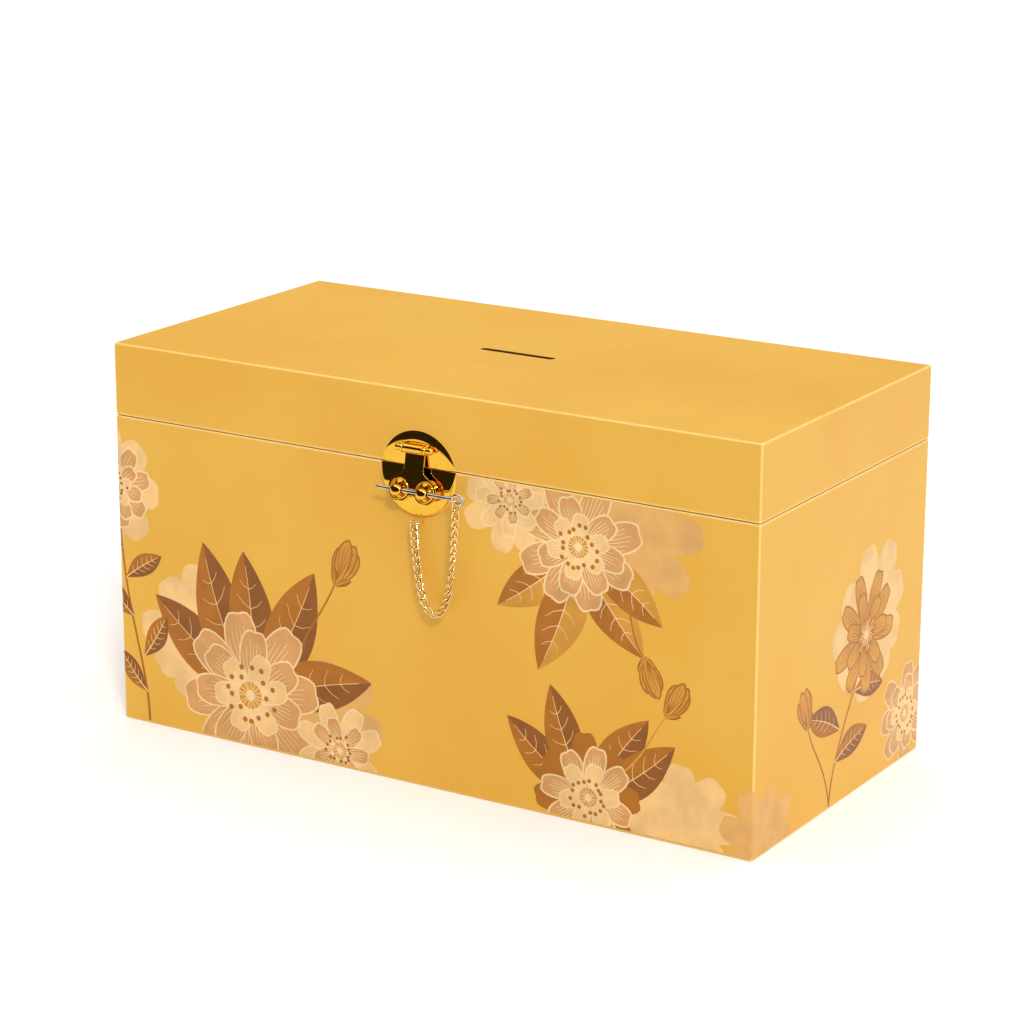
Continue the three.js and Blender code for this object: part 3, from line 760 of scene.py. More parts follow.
def layer(base, turn, long, bend):
    """A way to lay a shape that runs along the real axis: bent towards its tip, turned, at a base."""

    def laid(points):
        bent = [p + complex(0, bend * long * (p.real / long) ** 2) for p in points]
        return [base + cmath.rect(1, turn) * p for p in bent]

    return laid


class Spray:
    """Printed shapes on the unrolled walls, in millimetres, each laid over those drawn before it."""

    def __init__(self, seed):
        self.shapes = []
        self.chance = random.Random(seed)

    def fill(self, ink_name, points):
        area = sum((a.conjugate() * b).imag for a, b in zip(points, points[1:] + points[:1]))
        self.shapes.append((ink_name, points if area > 0 else points[::-1]))

    def line(self, ink_name, points, start, end):
        """A drawn line whose width goes from start to end."""
        sides = ([], [])
        for k, point in enumerate(points):
            along = points[min(k + 1, len(points) - 1)] - points[max(k - 1, 0)]
            width = start + (end - start) * k / (len(points) - 1)
            across = along / abs(along) * complex(0, width / 2)
            sides[0].append(point + across)
            sides[1].append(point - across)
        self.fill(ink_name, sides[0] + sides[1][::-1])

    def stem(self, ink_name, a, b, c, d, start, end):
        """A stem along a Bezier curve from a to d."""
        self.line(ink_name, bezier(a, b, c, d, evenly(16)), start, end)

    def petal(self, base, turn, long, width, ink_name, edge, notch, veins):
        """A petal with a drawn edge and drawn veins."""
        rim, hair = look("print").line / MM, look("print").vein / MM
        laid = layer(base, turn, long, self.chance.uniform(-0.07, 0.07))
        self.fill(edge, laid(petal_outline(long, width, notch)))
        inner = petal_outline(long - 2 * rim, width - 2 * rim, notch)
        self.fill(ink_name, laid([p + rim for p in inner]))
        for k in range(veins):
            lean = (k - (veins - 1) / 2) / (veins / 2)
            reach = long * (0.88 - 0.2 * lean * lean - notch - self.chance.uniform(0, 0.08))
            start = long * 0.16
            points = []
            for t in evenly(7):
                spread = lean * width * 0.4 * math.sin(t * math.pi / 2) * (0.76 + 0.1 * t)
                points.append(complex(start + (reach - start) * t, spread))
            self.line(edge, laid(points), hair * 1.3, hair * 0.5)

    def blossom(self, s, z, radius, turn, rings):
        """Rings of petals (count, length share, width share, ink, edge ink) and a tuft of stamens."""
        middle = complex(s, z)
        for ring, (count, reach, wide, ink_name, edge) in enumerate(rings):
            veins = 7 if radius * wide > 18 else 5
            for k in (*range(0, count, 2), *range(1, count, 2)):
                angle = math.radians(turn) + TURN * (k + 0.5 * (ring % 2)) / count
                angle += self.chance.uniform(-0.09, 0.09)
                long = radius * reach * self.chance.uniform(0.92, 1.06)
                self.petal(middle, angle, long, radius * wide, ink_name, edge, 0.07, veins)
        self.dot("ochre", middle, 0.15 * radius, 18)
        for k in range(17):
            angle = TURN * k / 17 + self.chance.uniform(-0.1, 0.1)
            tip = middle + cmath.rect(radius * self.chance.uniform(0.2, 0.33), angle)
            root = middle + cmath.rect(0.06 * radius, angle)
            self.line("cream", [root, (root + tip) / 2, tip], 0.5, 0.4)
            self.dot("brown", tip, 0.026 * radius + 0.25, 9)
        self.dot("cream", middle, 0.06 * radius, 12)

    def dot(self, ink_name, middle, radius, sides):
        self.fill(ink_name, [middle + complex(x, y) for x, y in circle(radius, sides)])

    def shade(self, s, z, radius, turn, count, ink_name):
        """A plain one-tone blossom that lies behind the drawn ones."""
        for k in range(count):
            angle = math.radians(turn) + TURN * k / count + self.chance.uniform(-0.08, 0.08)
            long = radius * self.chance.uniform(0.86, 1.08)
            laid = layer(complex(s, z), angle, long, 0)
            self.fill(ink_name, laid(petal_outline(long, radius * 0.62, 0.05)))

    def leaf(self, s, z, long, turn, wide=0.42, ink_name="brown", half="umber", vein="peach"):
        """A leaf with one half in shade, a midrib and side veins."""
        bend = self.chance.choice((-1, 1)) * self.chance.uniform(0.1, 0.2)
        laid = layer(complex(s, z), math.radians(turn), long, bend)
        shape = leaf_outline(long, long * wide)
        self.fill(ink_name, laid(shape))
        lower = [p for p in shape if p.imag <= 1e-9 and 0 < p.real < long]
        rib = [complex(long * k / 8, 0) for k in range(9)]
        self.fill(half, laid(rib + sorted(lower, key=lambda p: -p.real)))
        self.line(vein, laid([complex(long * k / 10, 0) for k in range(10)]), 0.9, 0.35)
        for k in range(1, 6):
            for way in (-1, 1):
                start = complex(long * (0.1 + 0.13 * k), 0)
                across = long * wide * 0.33 * math.sin(math.pi * (0.18 + 0.13 * k) ** 1.12)
                end = start + complex(0.75 * across, way * across)
                middle = (start + end) / 2 + complex(-0.08 * across, way * 0.08 * across)
                self.line(vein, laid([start, middle, end]), 0.45, 0.25)

    def fan(self, s, z, leaves, *kind):
        """Leaves of a kind (turn, length) that spread from one place."""
        for turn, long in leaves:
            self.leaf(s, z, long, turn, *kind)

    def bud(self, s, z, long, turn):
        """A closed bud of overlapping petals with two sepals."""
        for lean, reach in ((-24, 0.86), (24, 0.86), (-9, 0.97), (11, 1.0)):
            angle = math.radians(turn + lean * 0.55)
            self.petal(complex(s, z), angle, long * reach, long * 0.46, "ochre", "brown", -0.05, 4)
        for lean in (-34, 34):
            self.leaf(s, z, long * 0.42, turn + lean, 0.34, vein="ochre")

OPEN = ((8, 1.0, 0.56, "tan", "cream"), (7, 0.74, 0.46, "tan", "cream"), (6, 0.5, 0.34, "peach", "cream"))
DARK = ((8, 1.0, 0.56, "brown", "brown"), (8, 0.86, 0.48, "tan", "cream"), (6, 0.58, 0.38, "peach", "cream"))
FINE = ((9, 1.0, 0.42, "ochre", "brown"), (7, 0.7, 0.36, "ochre", "brown"))
PALE = ((8, 1.0, 0.54, "peach", "cream"), (7, 0.7, 0.42, "tan", "cream"))


SPRAYS = {
    "low_left": (
        ("shade", -156, 60, 46, 12, 9, "peach"),
        ("shade", -66, 30, 40, 40, 8, "rose"),
        ("fan", -118, 30, ((150, 88), (122, 96), (86, 90), (54, 96), (24, 88)), 0.36),
        ("stem", "brown", -92 + 44j, -84 + 76j, -66 + 92j, -58 + 112j, 1.5, 1.0),
        ("bud", -58, 110, 30, 66),
        ("blossom", -120, 32, 56, 8, OPEN),
        ("blossom", -56, 10, 32, 22, PALE),
    ),
    "hanging": (
        ("shade", 138, 172, 44, 5, 8, "rose"),
        ("shade", 60, 178, 32, 30, 8, "peach"),
        ("fan", 104, 160, ((-132, 66), (-98, 78), (-62, 70), (-26, 64)), 0.38, "ochre", "brown", "cream"),
        ("stem", "brown", 128 + 156j, 140 + 138j, 134 + 118j, 146 + 104j, 1.4, 0.9),
        ("bud", 146, 105, 24, -70),
        ("blossom", 104, 160, 42, 20, OPEN),
        ("blossom", 60, 180, 24, 0, PALE),
    ),
    "left_corner": (
        ("shade", -222, 146, 44, 0, 8, "peach"),
        ("stem", "brown", -196 + 0j, -196 + 40j, -214 + 70j, -214 + 132j, 1.8, 1.1),
        ("leaf", -197, 20, 30, 138),
        ("leaf", -199, 42, 34, 52),
        ("leaf", -205, 66, 34, 142),
        ("leaf", -211, 90, 32, 40),
        ("leaf", -213, 108, 28, 146),
        ("blossom", -218, 146, 30, 14, OPEN),
        ("bud", -250, 112, 26, 210),
        ("stem", "brown", -216 + 124j, -224 + 118j, -236 + 116j, -250 + 112j, 1.2, 0.9),
    ),
    "near_corner": (
        ("shade", 168, 12, 40, 10, 9, "peach"),
        ("shade", 226, 8, 34, 30, 8, "rose"),
        ("fan", 112, 14, ((152, 66), (120, 68), (62, 66), (28, 68)), 0.36),
        ("stem", "ochre", 128 + 30j, 150 + 48j, 150 + 60j, 160 + 72j, 1.3, 0.9),
        ("bud", 160, 72, 24, 56),
        ("blossom", 112, 16, 38, 12, DARK),
    ),
    "right": (
        ("shade", 352, 98, 50, 20, 9, "peach"),
        ("stem", "brown", 306 + 0j, 308 + 30j, 330 + 52j, 346 + 84j, 1.8, 1.2),
        ("stem", "brown", 306 + 4j, 300 + 30j, 284 + 40j, 278 + 56j, 1.3, 0.9),
        ("leaf", 312, 26, 42, 24),
        ("leaf", 318, 44, 44, 146),
        ("leaf", 334, 62, 38, 4),
        ("bud", 278, 56, 26, 108),
        ("blossom", 348, 92, 40, 30, FINE),
        ("blossom", 404, 28, 36, 0, OPEN),
    ),
    "left": (
        ("shade", -372, 60, 52, 10, 9, "peach"),
        ("fan", -338, 26, ((160, 66), (118, 74), (70, 72), (30, 66))),
        ("blossom", -338, 28, 46, 0, OPEN),
        ("blossom", -404, 120, 30, 12, FINE),
    ),
    "back": (
        ("shade", 500, 24, 44, 0, 9, "peach"),
        ("fan", 476, 12, ((140, 58), (96, 60), (40, 62))),
        ("blossom", 474, 14, 38, 0, PALE),
        ("stem", "brown", 520 + 0j, 530 + 30j, 552 + 40j, 560 + 62j, 1.4, 0.9),
        ("bud", 560, 62, 26, 70),
    ),
}


class CARDBOX_OT_sprays(bpy.types.Operator):
    """Print the flower sprays on the walls as one thin layer of ink each"""

    bl_idname = "card_box.sprays"
    bl_label = "Printed sprays"

    def execute(self, context):
        low, high = 1.4 * look("shell").edge / MM, box_sizes().body_top / MM - 0.9
        lines = [line / MM for line in corner_lines()]
        for index, (name, steps) in enumerate(SPRAYS.items()):
            spray = Spray(FIRST_SEED + index)
            for kind, *values in steps:
                getattr(spray, kind)(*values)
            film = look("print").film * (1 + index / len(SPRAYS))
            points, edges, faces = [], [], []
            for _, shape in spray.shapes:
                faces.append(list(range(len(points), len(points) + len(shape))))
                points += [(p.real, p.imag) for p in shape]
            left = min(x for x, _ in points) - 1
            right = max(x for x, _ in points) + 1
            cuts = [((left, z), (right, z)) for z in (low, high)]
            cuts += [((s, low - 1), (s, high + 1)) for s in lines if left < s < right]
            for ends in cuts:
                edges.append((len(points), len(points) + 1))
                points += ends
            points = [Vector(point) for point in points]
            places, _, corners, _, _, sources = delaunay_2d_cdt(points, edges, faces, 1, 1e-5)
            bm = bmesh.new()
            verts, inks = {}, []
            for corner, source in zip(corners, sources):
                height = sum(places[k].y for k in corner) / len(corner)
                if not source or not low < height < high:
                    continue
                shade = spray.shapes[max(source)][0]
                if shade not in inks:
                    inks.append(shade)
                for k in corner:
                    if k not in verts:
                        verts[k] = bm.verts.new(on_walls(places[k].x * MM, places[k].y * MM, film))
                face = bm.faces.new([verts[k] for k in corner])
                face.material_index = inks.index(shade)
            piece("spray_" + name, bm, [ink(shade) for shade in inks], "box", solid=False)
        return {"FINISHED"}


def soft_ramp(value, start, end):
    """Integral of a smooth step: 0 up to start, and a slope of 1 beyond end."""
    span = end - start
    share_in = min(1.0, max(0.0, (value - start) / span))
    return span * (share_in ** 3 - share_in ** 4 / 2) + max(0.0, value - end)


def plate_height(x, z, up, radius, seam, latch):
    """Height of a plate's face above the wall, for a place (x, z) from the plate's middle."""
    out = math.hypot(x, z)
    if up > 0:
        def fall(r):
            curl = max(0.0, (r - latch.plate_flat) / (radius - latch.plate_flat)) ** 4
            ramp = soft_ramp(r, latch.plate_flat, latch.plate_flat + 1.6 * MM)
            return latch.plate_slope * ramp + latch.plate_curl * curl

        return latch.plate_edge + fall(radius) - fall(out)
    below = seam - z
    rise = latch.sink_slope * (below - soft_ramp(below, latch.sink - 1.5 * MM, latch.sink + 1.5 * MM))
    edge = 1.1 * (radius - out - soft_ramp(radius - out, 0.6 * MM, 3.2 * MM))
    return latch.plate_edge + min(rise, edge)


class CARDBOX_OT_plates(bpy.types.Operator):
    """Make the two halves of the round latch plate"""

    bl_idname = "card_box.plates"
    bl_label = "Latch plates"

    def execute(self, context):
        latch = look("latch")
        low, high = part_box("lower_plate")
        radius = high.x
        centre = Vector((0, high.y, low.z + radius))
        chamfer = 0.35 * MM
        rings, facets = 60, 192
        for name, up, body in (("upper_plate", 1, "lid"), ("lower_plate", -1, "box")):
            box_low, box_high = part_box(name)
            split = box_low.z if up > 0 else box_high.z
            bm = bmesh.new()
            rows = [[centre.copy() for _ in range(facets)]]
            for k in range(1, rings + 1):
                r = radius * (1 - (1 - k / rings) ** 1.25)
                rows.append([Vector((x, centre.y, centre.z + z)) for x, z in circle(r, facets)])
            skin(bm, rows, closed=False)
            bmesh.ops.remove_doubles(bm, verts=bm.verts, dist=WELD)
            for plane, clears in ((split + up * chamfer, False), (split, True)):
                geometry = bm.verts[:] + bm.edges[:] + bm.faces[:]
                bmesh.ops.bisect_plane(
                    bm, geom=geometry, plane_co=(0, 0, plane), plane_no=(0, 0, -up), clear_outer=clears
                )
            for vert in bm.verts:
                x, z = vert.co.x, vert.co.z - centre.z
                height = plate_height(x, z, up, radius, split - centre.z, latch)
                if up * (vert.co.z - split) < 0.5 * chamfer:
                    height = max(0.05 * MM, height - 0.8 * chamfer)
                vert.co.y = centre.y - height
            edges = [e for e in bm.edges if e.is_boundary]
            wall = bmesh.ops.extrude_edge_only(bm, edges=edges)
            for vert in [g for g in wall["geom"] if isinstance(g, bmesh.types.BMVert)]:
                vert.co.y = centre.y
            fitting(name + "_brass", bm, "polished_brass", body, name)
        return {"FINISHED"}


def down_flap(latch, axis, height, set_back):
    """Distance down the leaning flap from its axis to a height, for a place set back from the axis."""
    return (axis.z - height - set_back * math.sin(latch.lean)) / math.cos(latch.lean)


def flap_outline(latch, half_neck, lobe_x, lobe_z, steps=14):
    """Outline of the flap's sheet in (x, height from its axis), clockwise from the barrel's right end."""
    start, end = math.radians(35), math.radians(-148)
    pull = 4 * MM
    neck = complex(half_neck, -latch.neck)
    top = complex(lobe_x, lobe_z) + cmath.rect(latch.lobe, start)
    handle = top + cmath.rect(pull, start) * 1j
    shoulder = bezier(neck, neck - pull * 1j, handle, top, evenly(steps)[1:-1])
    right = [(half_neck, 0), *((p.real, p.imag) for p in (neck, *shoulder))]
    right += arc((lobe_x, lobe_z), latch.lobe, start, end, 3 * steps)
    notch = (0, right[-1][1] + 0.7 * MM)
    return [*right, notch, *((-x, z) for x, z in reversed(right))]


class CARDBOX_OT_flap(bpy.types.Operator):
    """Make the hasp flap: rolled barrel, neck, shoulders and two lobes with rimmed holes"""

    bl_idname = "card_box.flap"
    bl_label = "Hasp flap"

    def execute(self, context):
        latch = look("latch")
        axis = middle_of("flap_rod")
        knob = middle_of("hasp_knob_right")
        half_neck = 6.4 * MM
        soft = 0.3 * MM
        front = latch.barrel - latch.sheet
        lobe_z = -down_flap(latch, axis, knob.z, latch.barrel - latch.sheet / 2)
        curve = bpy.data.curves.new("flap_sheet", "CURVE")
        curve.dimensions = "2D"
        curve.fill_mode = "BOTH"
        curve.extrude = latch.sheet / 2 - soft
        curve.bevel_depth = soft
        curve.bevel_resolution = 3
        curve.offset = -soft
        loops = [flap_outline(latch, half_neck, knob.x, lobe_z)]
        loops += [[(side * knob.x + x, lobe_z + z) for x, z in circle(latch.hole, 64)] for side in (-1, 1)]
        for loop in loops:
            spline = curve.splines.new("POLY")
            spline.points.add(len(loop) - 1)
            spline.use_cyclic_u = True
            for point, (x, z) in zip(spline.points, loop):
                point.co = (x, z, 0, 1)
        source = placed("flap_sheet", curve)
        graph = context.evaluated_depsgraph_get()
        sheet = bpy.data.meshes.new_from_object(source.evaluated_get(graph))
        bpy.data.objects.remove(source)
        bm = bmesh.new()
        bm.from_mesh(sheet)
        for vert in bm.verts:
            x, z, depth = vert.co
            vert.co = (x, front + latch.sheet / 2 - depth, z)
        barrel = filleted([
            (latch.barrel, -half_neck, soft),
            (latch.barrel, half_neck, soft),
            (front, half_neck, soft),
            (front, -half_neck, soft),
        ])
        turned(bm, barrel, Vector(), (1, 0, 0), 64)
        for side in (-1, 1):
            rim = circle(latch.hole + 0.8 * latch.bead, 64)
            path = [Vector((side * knob.x + x, front, lobe_z + z)) for x, z in rim]
            sweep(bm, path, circle(latch.bead, 12), closed=True)
        leaned = Matrix.Translation(axis) @ Matrix.Rotation(-latch.lean, 4, "X")
        bmesh.ops.transform(bm, matrix=leaned, verts=bm.verts)
        fitting("flap_brass", bm, "polished_brass", "flap", "hasp_flap")
        return {"FINISHED"}


class CARDBOX_OT_knobs(bpy.types.Operator):
    """Make the two hasp knobs: riveted shank, foot, stem and a bored bead-like head"""

    bl_idname = "card_box.knobs"
    bl_label = "Hasp knobs"

    def execute(self, context):
        latch = look("latch")
        size = box_sizes()
        axis = middle_of("flap_rod")
        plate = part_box("lower_plate")[0].y
        for name in ("hasp_knob_left", "hasp_knob_right"):
            place = middle_of(name)
            place.y = sum(corner.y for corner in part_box("locking_pin")) / 2
            down = down_flap(latch, axis, place.z + latch.foot, latch.barrel)
            behind = latch.barrel * math.cos(latch.lean) - down * math.sin(latch.lean)
            foot = axis.y + behind + latch.gap - place.y
            face = -size.half_y - place.y
            inside = face + size.wall
            thick = latch.head / 2
            bm = bmesh.new()
            start = latch.bore + 0.25 * MM
            facets = 48
            shape = filleted([
                (0, start, 0),
                (latch.stem, start, 0),
                (0.86 * latch.stem, start + 0.35 * (foot - start), 1.0 * MM),
                (1.15 * latch.stem, foot, 0.8 * MM),
                (latch.foot, foot, 0.7 * MM),
                (latch.foot, plate - place.y, 0),
                (latch.shank, plate - place.y, 0),
                (latch.shank, inside, 0),
                (2 * latch.shank, inside, 0),
                (1.7 * latch.shank, inside + 0.7 * latch.rivet, 0.5 * MM),
                (0, inside + latch.rivet, 0),
            ])
            turned(bm, shape, place, (0, 1, 0), facets)
            bore_half = latch.head_length / 2 * math.sqrt(1 - (latch.bore / thick) ** 2)
            ends = math.acos(latch.bore / thick)
            bead = []
            steps = 32
            for k in range(steps + 1):
                angle = -ends + 2 * ends * k / steps
                bead.append((thick * math.cos(angle), latch.head_length / 2 * math.sin(angle)))
            bead += [(latch.bore, 0.9 * bore_half), (latch.bore, -0.9 * bore_half)]
            turned(bm, bead, place, (1, 0, 0), facets)
            self.flatten(bm, place, latch)
            fitting(name + "_brass", bm, "polished_brass", "box", name)
        return {"FINISHED"}

    def flatten(self, bm, place, latch):
        """Gives the front of the bored head a broad face that looks a little up."""
        for vert in bm.verts:
            away = vert.co - place
            reach = math.hypot(away.y, away.z)
            ahead = abs(away.x) < latch.head_length / 2 and away.y < 0
            if not ahead or reach < 1.05 * latch.bore or reach > 1.001 * latch.head / 2:
                continue
            side, up = -away.y / reach, away.z / reach
            square = (side ** 3 + abs(up) ** 3) ** (-1 / 3)
            fade = min(1.0, (reach / latch.bore - 1.05) / 0.3)
            scale = 1 + fade * (square - 1)
            vert.co.z = place.z + away.z * scale
            vert.co.y = place.y + away.y * scale + fade * side * 0.2 * away.z


def staple_path(wire, spacing, reach, wall, latch, steps=10):
    """A staple's line in (depth, height) from tail to tail. Depth 0 is the wall's face."""
    half = spacing / 2
    bend = wire / 2 + latch.gap
    arch = -(reach - wire / 2 - half)
    upper = [(wall + bend, half + bend + latch.tail)]
    upper += arc((wall, half + bend), bend, 0, -TURN / 4, steps)
    lower = [(depth, -height) for depth, height in reversed(upper)]
    return upper + arc((arch, 0), half, TURN / 4, 3 * TURN / 4, 2 * steps) + lower


class CARDBOX_OT_staples(bpy.types.Operator):
    """Make the flap's rod, its two staples and the chain's staple"""

    bl_idname = "card_box.staples"
    bl_label = "Staples and rod"

    def execute(self, context):
        latch = look("latch")
        size = box_sizes()
        face = -size.half_y
        rod_wire, chain_wire = 1.6 * MM, 0.88 * MM
        rod_spacing = 2 * (latch.rod + latch.gap) + rod_wire
        rows = (
            ("rod_staple_left", "lid", rod_wire, rod_spacing, "polished_brass"),
            ("rod_staple_right", "lid", rod_wire, rod_spacing, "polished_brass"),
            ("chain_staple", "box", chain_wire, 6.4 * MM, "pale_brass"),
        )
        for name, body, wire, spacing, finish in rows:
            low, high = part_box(name)
            middle = (low + high) / 2
            path = []
            for depth, height in staple_path(wire, spacing, face - low.y, size.wall, latch):
                if name == "chain_staple":
                    path.append(Vector((middle.x + height, face + depth, middle.z)))
                else:
                    path.append(Vector((middle.x, face + depth, middle.z + height)))
            bm = bmesh.new()
            sweep(bm, path, circle(wire / 2, 16))
            fitting(name + "_wire", bm, finish, body, name)
        ball_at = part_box("flap_rod")[1].x - latch.ball
        neck = math.acos(latch.rod / latch.ball)
        right = [(r, ball_at + a) for a, r in arc((0, 0), latch.ball, TURN / 2 - neck, 0, 14)]
        left = [(r, -a) for r, a in reversed(right)]
        bm = bmesh.new()
        turned(bm, left + right, middle_of("flap_rod"), (1, 0, 0), 32)
        fitting("flap_rod_brass", bm, "polished_brass", "lid", "flap_rod")
        return {"FINISHED"}


class CARDBOX_OT_pin(bpy.types.Operator):
    """Make the split locking pin with its eye"""

    bl_idname = "card_box.pin"
    bl_label = "Locking pin"

    def execute(self, context):
        chain = look("chain")
        low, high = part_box("locking_pin")
        middle = (low + high) / 2
        eye_x = high.x - (chain.eye_length + chain.eye_wire) / 2
        end = eye_x - chain.eye_length / 2
        flat = chain.slit / 2
        stations = ((low.x, 0.35), (low.x + 0.3 * chain.point, 0.62), (low.x + chain.point, 1.0), (end, 1.0))
        bm = bmesh.new()
        for up in (-1, 1):
            rows = []
            for x, thin in stations:
                radius = chain.pin * thin
                half = arc((0, 0), radius, math.asin(flat / radius), math.pi - math.asin(flat / radius), 12)
                rows.append([(x, middle.y + a, middle.z + up * b) for a, b in half])
            tube(bm, rows)
        eye = []
        for x, z in circle(1, 56):
            place = (eye_x + x * chain.eye_length / 2, middle.y, middle.z + z * chain.eye_height / 2)
            eye.append(Vector(place))
        sweep(bm, eye, circle(chain.eye_wire / 2, 16), closed=True)
        fitting("locking_pin_steel", bm, "pin_steel", "pin", "locking_pin")
        return {"FINISHED"}


def catenary(span, rise, run):
    """Point at a distance along a chain of length run that hangs over a span and a rise."""
    stretch = math.sqrt(run * run - rise * rise) / span
    low, high = 0.0, 1.0
    while math.sinh(high) / high < stretch:
        high *= 2
    for _ in range(60):
        middle = (low + high) / 2
        if math.sinh(middle) / middle < stretch:
            low = middle
        else:
            high = middle
    scale = span / (low + high)
    lowest = span / 2 - scale * math.atanh(rise / run)
    before = scale * math.sinh(lowest / scale)

    def point(distance):
        x = lowest + scale * math.asinh((distance - before) / scale)
        return x, scale * (math.cosh((x - lowest) / scale) - math.cosh(lowest / scale))

    return point


def smooth(value, low, high):
    value = min(1.0, max(0.0, (value - low) / (high - low)))
    return value * value * (3 - 2 * value)


def link_line(chain, angle):
    """Point of a curb link's wire, whose two ends are twisted against each other."""
    half_length = (chain.pitch + chain.wire + chain.play) / 2
    half_width = (chain.width - chain.wire) / 2
    along = half_width * math.cos(angle) + math.copysign(half_length - half_width, math.cos(angle))
    across = half_width * math.sin(angle)
    twist = chain.twist * along / half_length
    return Vector((along, across * math.cos(twist), across * math.sin(twist)))


class CARDBOX_OT_chain(bpy.types.Operator):
    """Make the curb links along the hanging chain"""

    bl_idname = "card_box.chain"
    bl_label = "Chain"

    def execute(self, context):
        chain = look("chain")
        staple_low, staple_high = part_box("chain_staple")
        pin_low, pin_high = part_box("locking_pin")
        staple_wire = staple_high.z - staple_low.z
        start = Vector((0, staple_low.y + staple_wire / 2, (staple_low.z + staple_high.z) / 2))
        start.z += (staple_wire + chain.play) / 2
        end = (pin_low + pin_high) / 2
        end.x = pin_high.x - (chain.eye_length + chain.eye_wire) / 2 - chain.hook
        end.z += (chain.eye_wire + chain.play) / 2
        end.z -= chain.eye_height / 2 * math.sqrt(1 - (2 * chain.hook / chain.eye_length) ** 2)
        curve = catenary(end.x - start.x, end.z - start.z, chain.count * chain.pitch)
        places = []
        for k in range(chain.count + 1):
            x, z = curve(k * chain.pitch)
            y = start.y + (end.y - start.y) * k / chain.count
            places.append(Vector((start.x + x, y, start.z + z)))
        left = set(frame["record"]["behaviour"]["bodies"]["left_strand"])
        for k in range(chain.count):
            node = f"chain_link_{k + 1:02d}"
            share_along = (k + 0.5) / chain.count
            ends = 1 - smooth(share_along, 0, 0.16) + smooth(share_along, 0.84, 1)
            roll = -chain.twist * (ends + 2 * smooth(share_along, 0.5, 0.8))
            along = (places[k + 1] - places[k]).normalized()
            facing = Vector((0, -1, 0))
            facing = (facing - along * facing.dot(along)).normalized()
            turn = Matrix((along, facing.cross(along), facing)).transposed()
            turn = turn @ Matrix.Rotation(roll, 3, "X")
            middle = (places[k] + places[k + 1]) / 2
            steps = 44
            path = [middle + turn @ link_line(chain, TURN * (j + 0.5) / steps) for j in range(steps)]
            bm = bmesh.new()
            sweep(bm, path, circle(chain.wire / 2, 12), closed=True)
            body = "left_strand" if node in left else "right_strand"
            fitting(f"link_{k + 1:02d}", bm, "pale_brass", body, node)
        return {"FINISHED"}


class CARDBOX_OT_hinges(bpy.types.Operator):
    """Give the rear hinges and their screws their brass"""

    bl_idname = "card_box.hinges"
    bl_label = "Rear hinges"

    def execute(self, context):
        for name, node in frame["nodes"].items():
            if "_hinge_" in name:
                dress(node, metal("hinge_brass"))
        return {"FINISHED"}


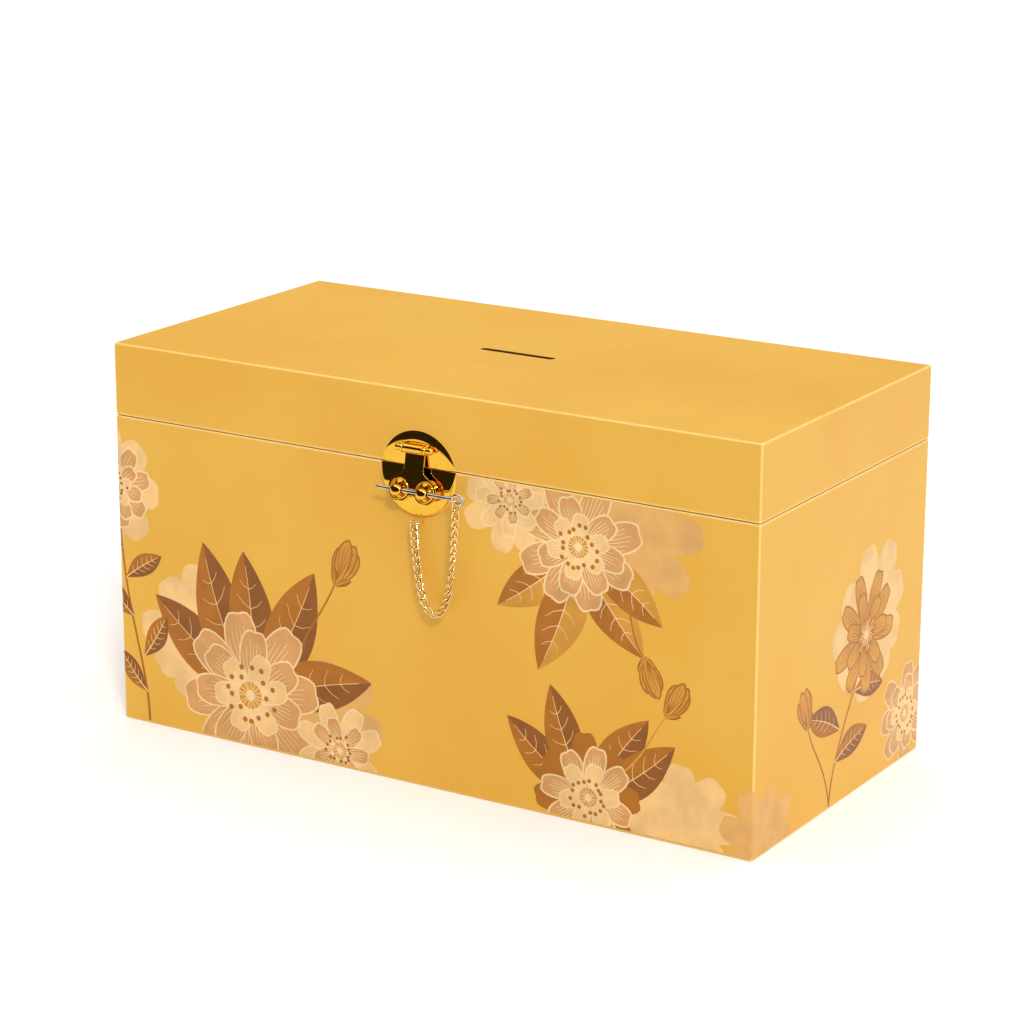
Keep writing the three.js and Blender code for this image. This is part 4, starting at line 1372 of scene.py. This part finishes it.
class CARDBOX_OT_stage(bpy.types.Operator):
    """Make the floor, the lights and the camera"""

    bl_idname = "card_box.stage"
    bl_label = "Stage"

    def execute(self, context):
        stage = look("stage")
        bm = bmesh.new()
        bmesh.ops.create_circle(bm, cap_ends=True, segments=96, radius=stage.reach)
        mesh = mesh_of("floor", bm)
        glow = {"Emission Color": (1, 1, 1, 1), "Emission Strength": 0.06}
        finish = Finish("floor_paper", {"Specular IOR Level": 0.2, **glow})
        fibres = finish.grain(0.4, 2.0)
        colours = finish.blend(fibres * 0.1, stage.floor, (1, 1, 1))
        mesh.materials.append(finish.paint(colours, 0.8 + fibres * 0.1))
        placed("floor", mesh)
        self.key(KEY_FROM, stage)
        self.surroundings(stage)
        context.scene.view_settings.view_transform = "Standard"
        camera = bpy.data.cameras.new("camera")
        camera.lens = stage.lens
        camera.sensor_width = 36
        camera.clip_end = 50
        made = placed("camera", camera)
        context.scene.camera = made
        back = Vector((
            math.sin(stage.azimuth) * math.cos(stage.elevation),
            -math.cos(stage.azimuth) * math.cos(stage.elevation),
            math.sin(stage.elevation),
        ))
        made.location = LOOKED_AT + back * stage.distance
        made.rotation_mode = "QUATERNION"
        turn = (-back).to_track_quat("-Z", "Y").to_matrix() @ Matrix.Rotation(stage.roll, 3, "Z")
        made.rotation_quaternion = turn.to_quaternion()
        return {"FINISHED"}

    def surroundings(self, stage):
        """A pale studio, dark low down in front and to the left, with a pale line at the floor's end."""
        world = bpy.data.worlds.new("studio")
        bpy.context.scene.world = world
        studio = Finish(world, {"Strength": 1.0}, "Background", "Generated")
        x, y, z = (studio.axis(index) for index in range(3))
        dark = studio.step(y * -0.96 + x * -0.28, -0.65, -0.15) * (1 - studio.step(z, 0.6, 0.85))
        panel = studio.step(x * 0.87 + y * -0.39 + z * 0.3, 0.93, 0.965)
        mirrored = studio.node("ShaderNodeLightPath", output="Is Glossy Ray")
        gleam = studio.step(x * 0.97 + z * 0.24, 0.9, 0.93) * mirrored
        shown = scaled(stage.light, stage.side)
        for amount, tint in (
            (studio.step(z, 0.35, 0.95), scaled(stage.light, stage.above)),
            (dark, stage.shade),
            (panel, scaled(stage.light, stage.panel)),
            (gleam, scaled(stage.light, stage.gleam)),
            (1 - studio.step(z, -0.014, -0.004), stage.line),
            (studio.node("ShaderNodeLightPath"), stage.backdrop),
        ):
            shown = studio.blend(amount, shown, tint)
        studio.feed(studio.surface.inputs["Color"], shown)

    def key(self, direction, stage):
        """A soft light from one direction, the same over the whole floor."""
        lamp = bpy.data.lights.new("key", "SUN")
        lamp.energy = stage.key
        lamp.angle = stage.softness
        made = placed("key", lamp)
        made.location = direction * 2
        made.rotation_euler = direction.to_track_quat("Z", "Y").to_euler()


GROUPS = {
    "card_box_shell": CardBoxShell,
    "card_box_print": CardBoxPrint,
    "card_box_latch": CardBoxLatch,
    "card_box_chain": CardBoxChain,
    "card_box_stage": CardBoxStage,
}
OPERATORS = (
    CARDBOX_OT_body,
    CARDBOX_OT_lid,
    CARDBOX_OT_sprays,
    CARDBOX_OT_plates,
    CARDBOX_OT_flap,
    CARDBOX_OT_knobs,
    CARDBOX_OT_staples,
    CARDBOX_OT_pin,
    CARDBOX_OT_chain,
    CARDBOX_OT_hinges,
    CARDBOX_OT_stage,
)


class CARDBOX_PT_panel(bpy.types.Panel):
    """Card box tools"""

    bl_idname = "CARDBOX_PT_panel"
    bl_label = "Card Box"
    bl_space_type = "VIEW_3D"
    bl_region_type = "UI"
    bl_category = "Card Box"

    def draw(self, context):
        for operator in OPERATORS:
            self.layout.operator(operator.bl_idname)
        for name, group in GROUPS.items():
            column = self.layout.column()
            for key in group.__annotations__:
                column.prop(getattr(context.scene, name), key)


def register():
    for group in (*GROUPS.values(), *OPERATORS, CARDBOX_PT_panel):
        bpy.utils.register_class(group)
    for name, group in GROUPS.items():
        setattr(bpy.types.Scene, name, PointerProperty(type=group))


def unregister():
    for name in GROUPS:
        delattr(bpy.types.Scene, name)
    for group in reversed((*GROUPS.values(), *OPERATORS, CARDBOX_PT_panel)):
        bpy.utils.unregister_class(group)


def main():
    register()
    for operator in OPERATORS:
        tool, name = operator.bl_idname.split(".")
        getattr(getattr(bpy.ops, tool), name)()


if __name__ == "__main__":
    main()
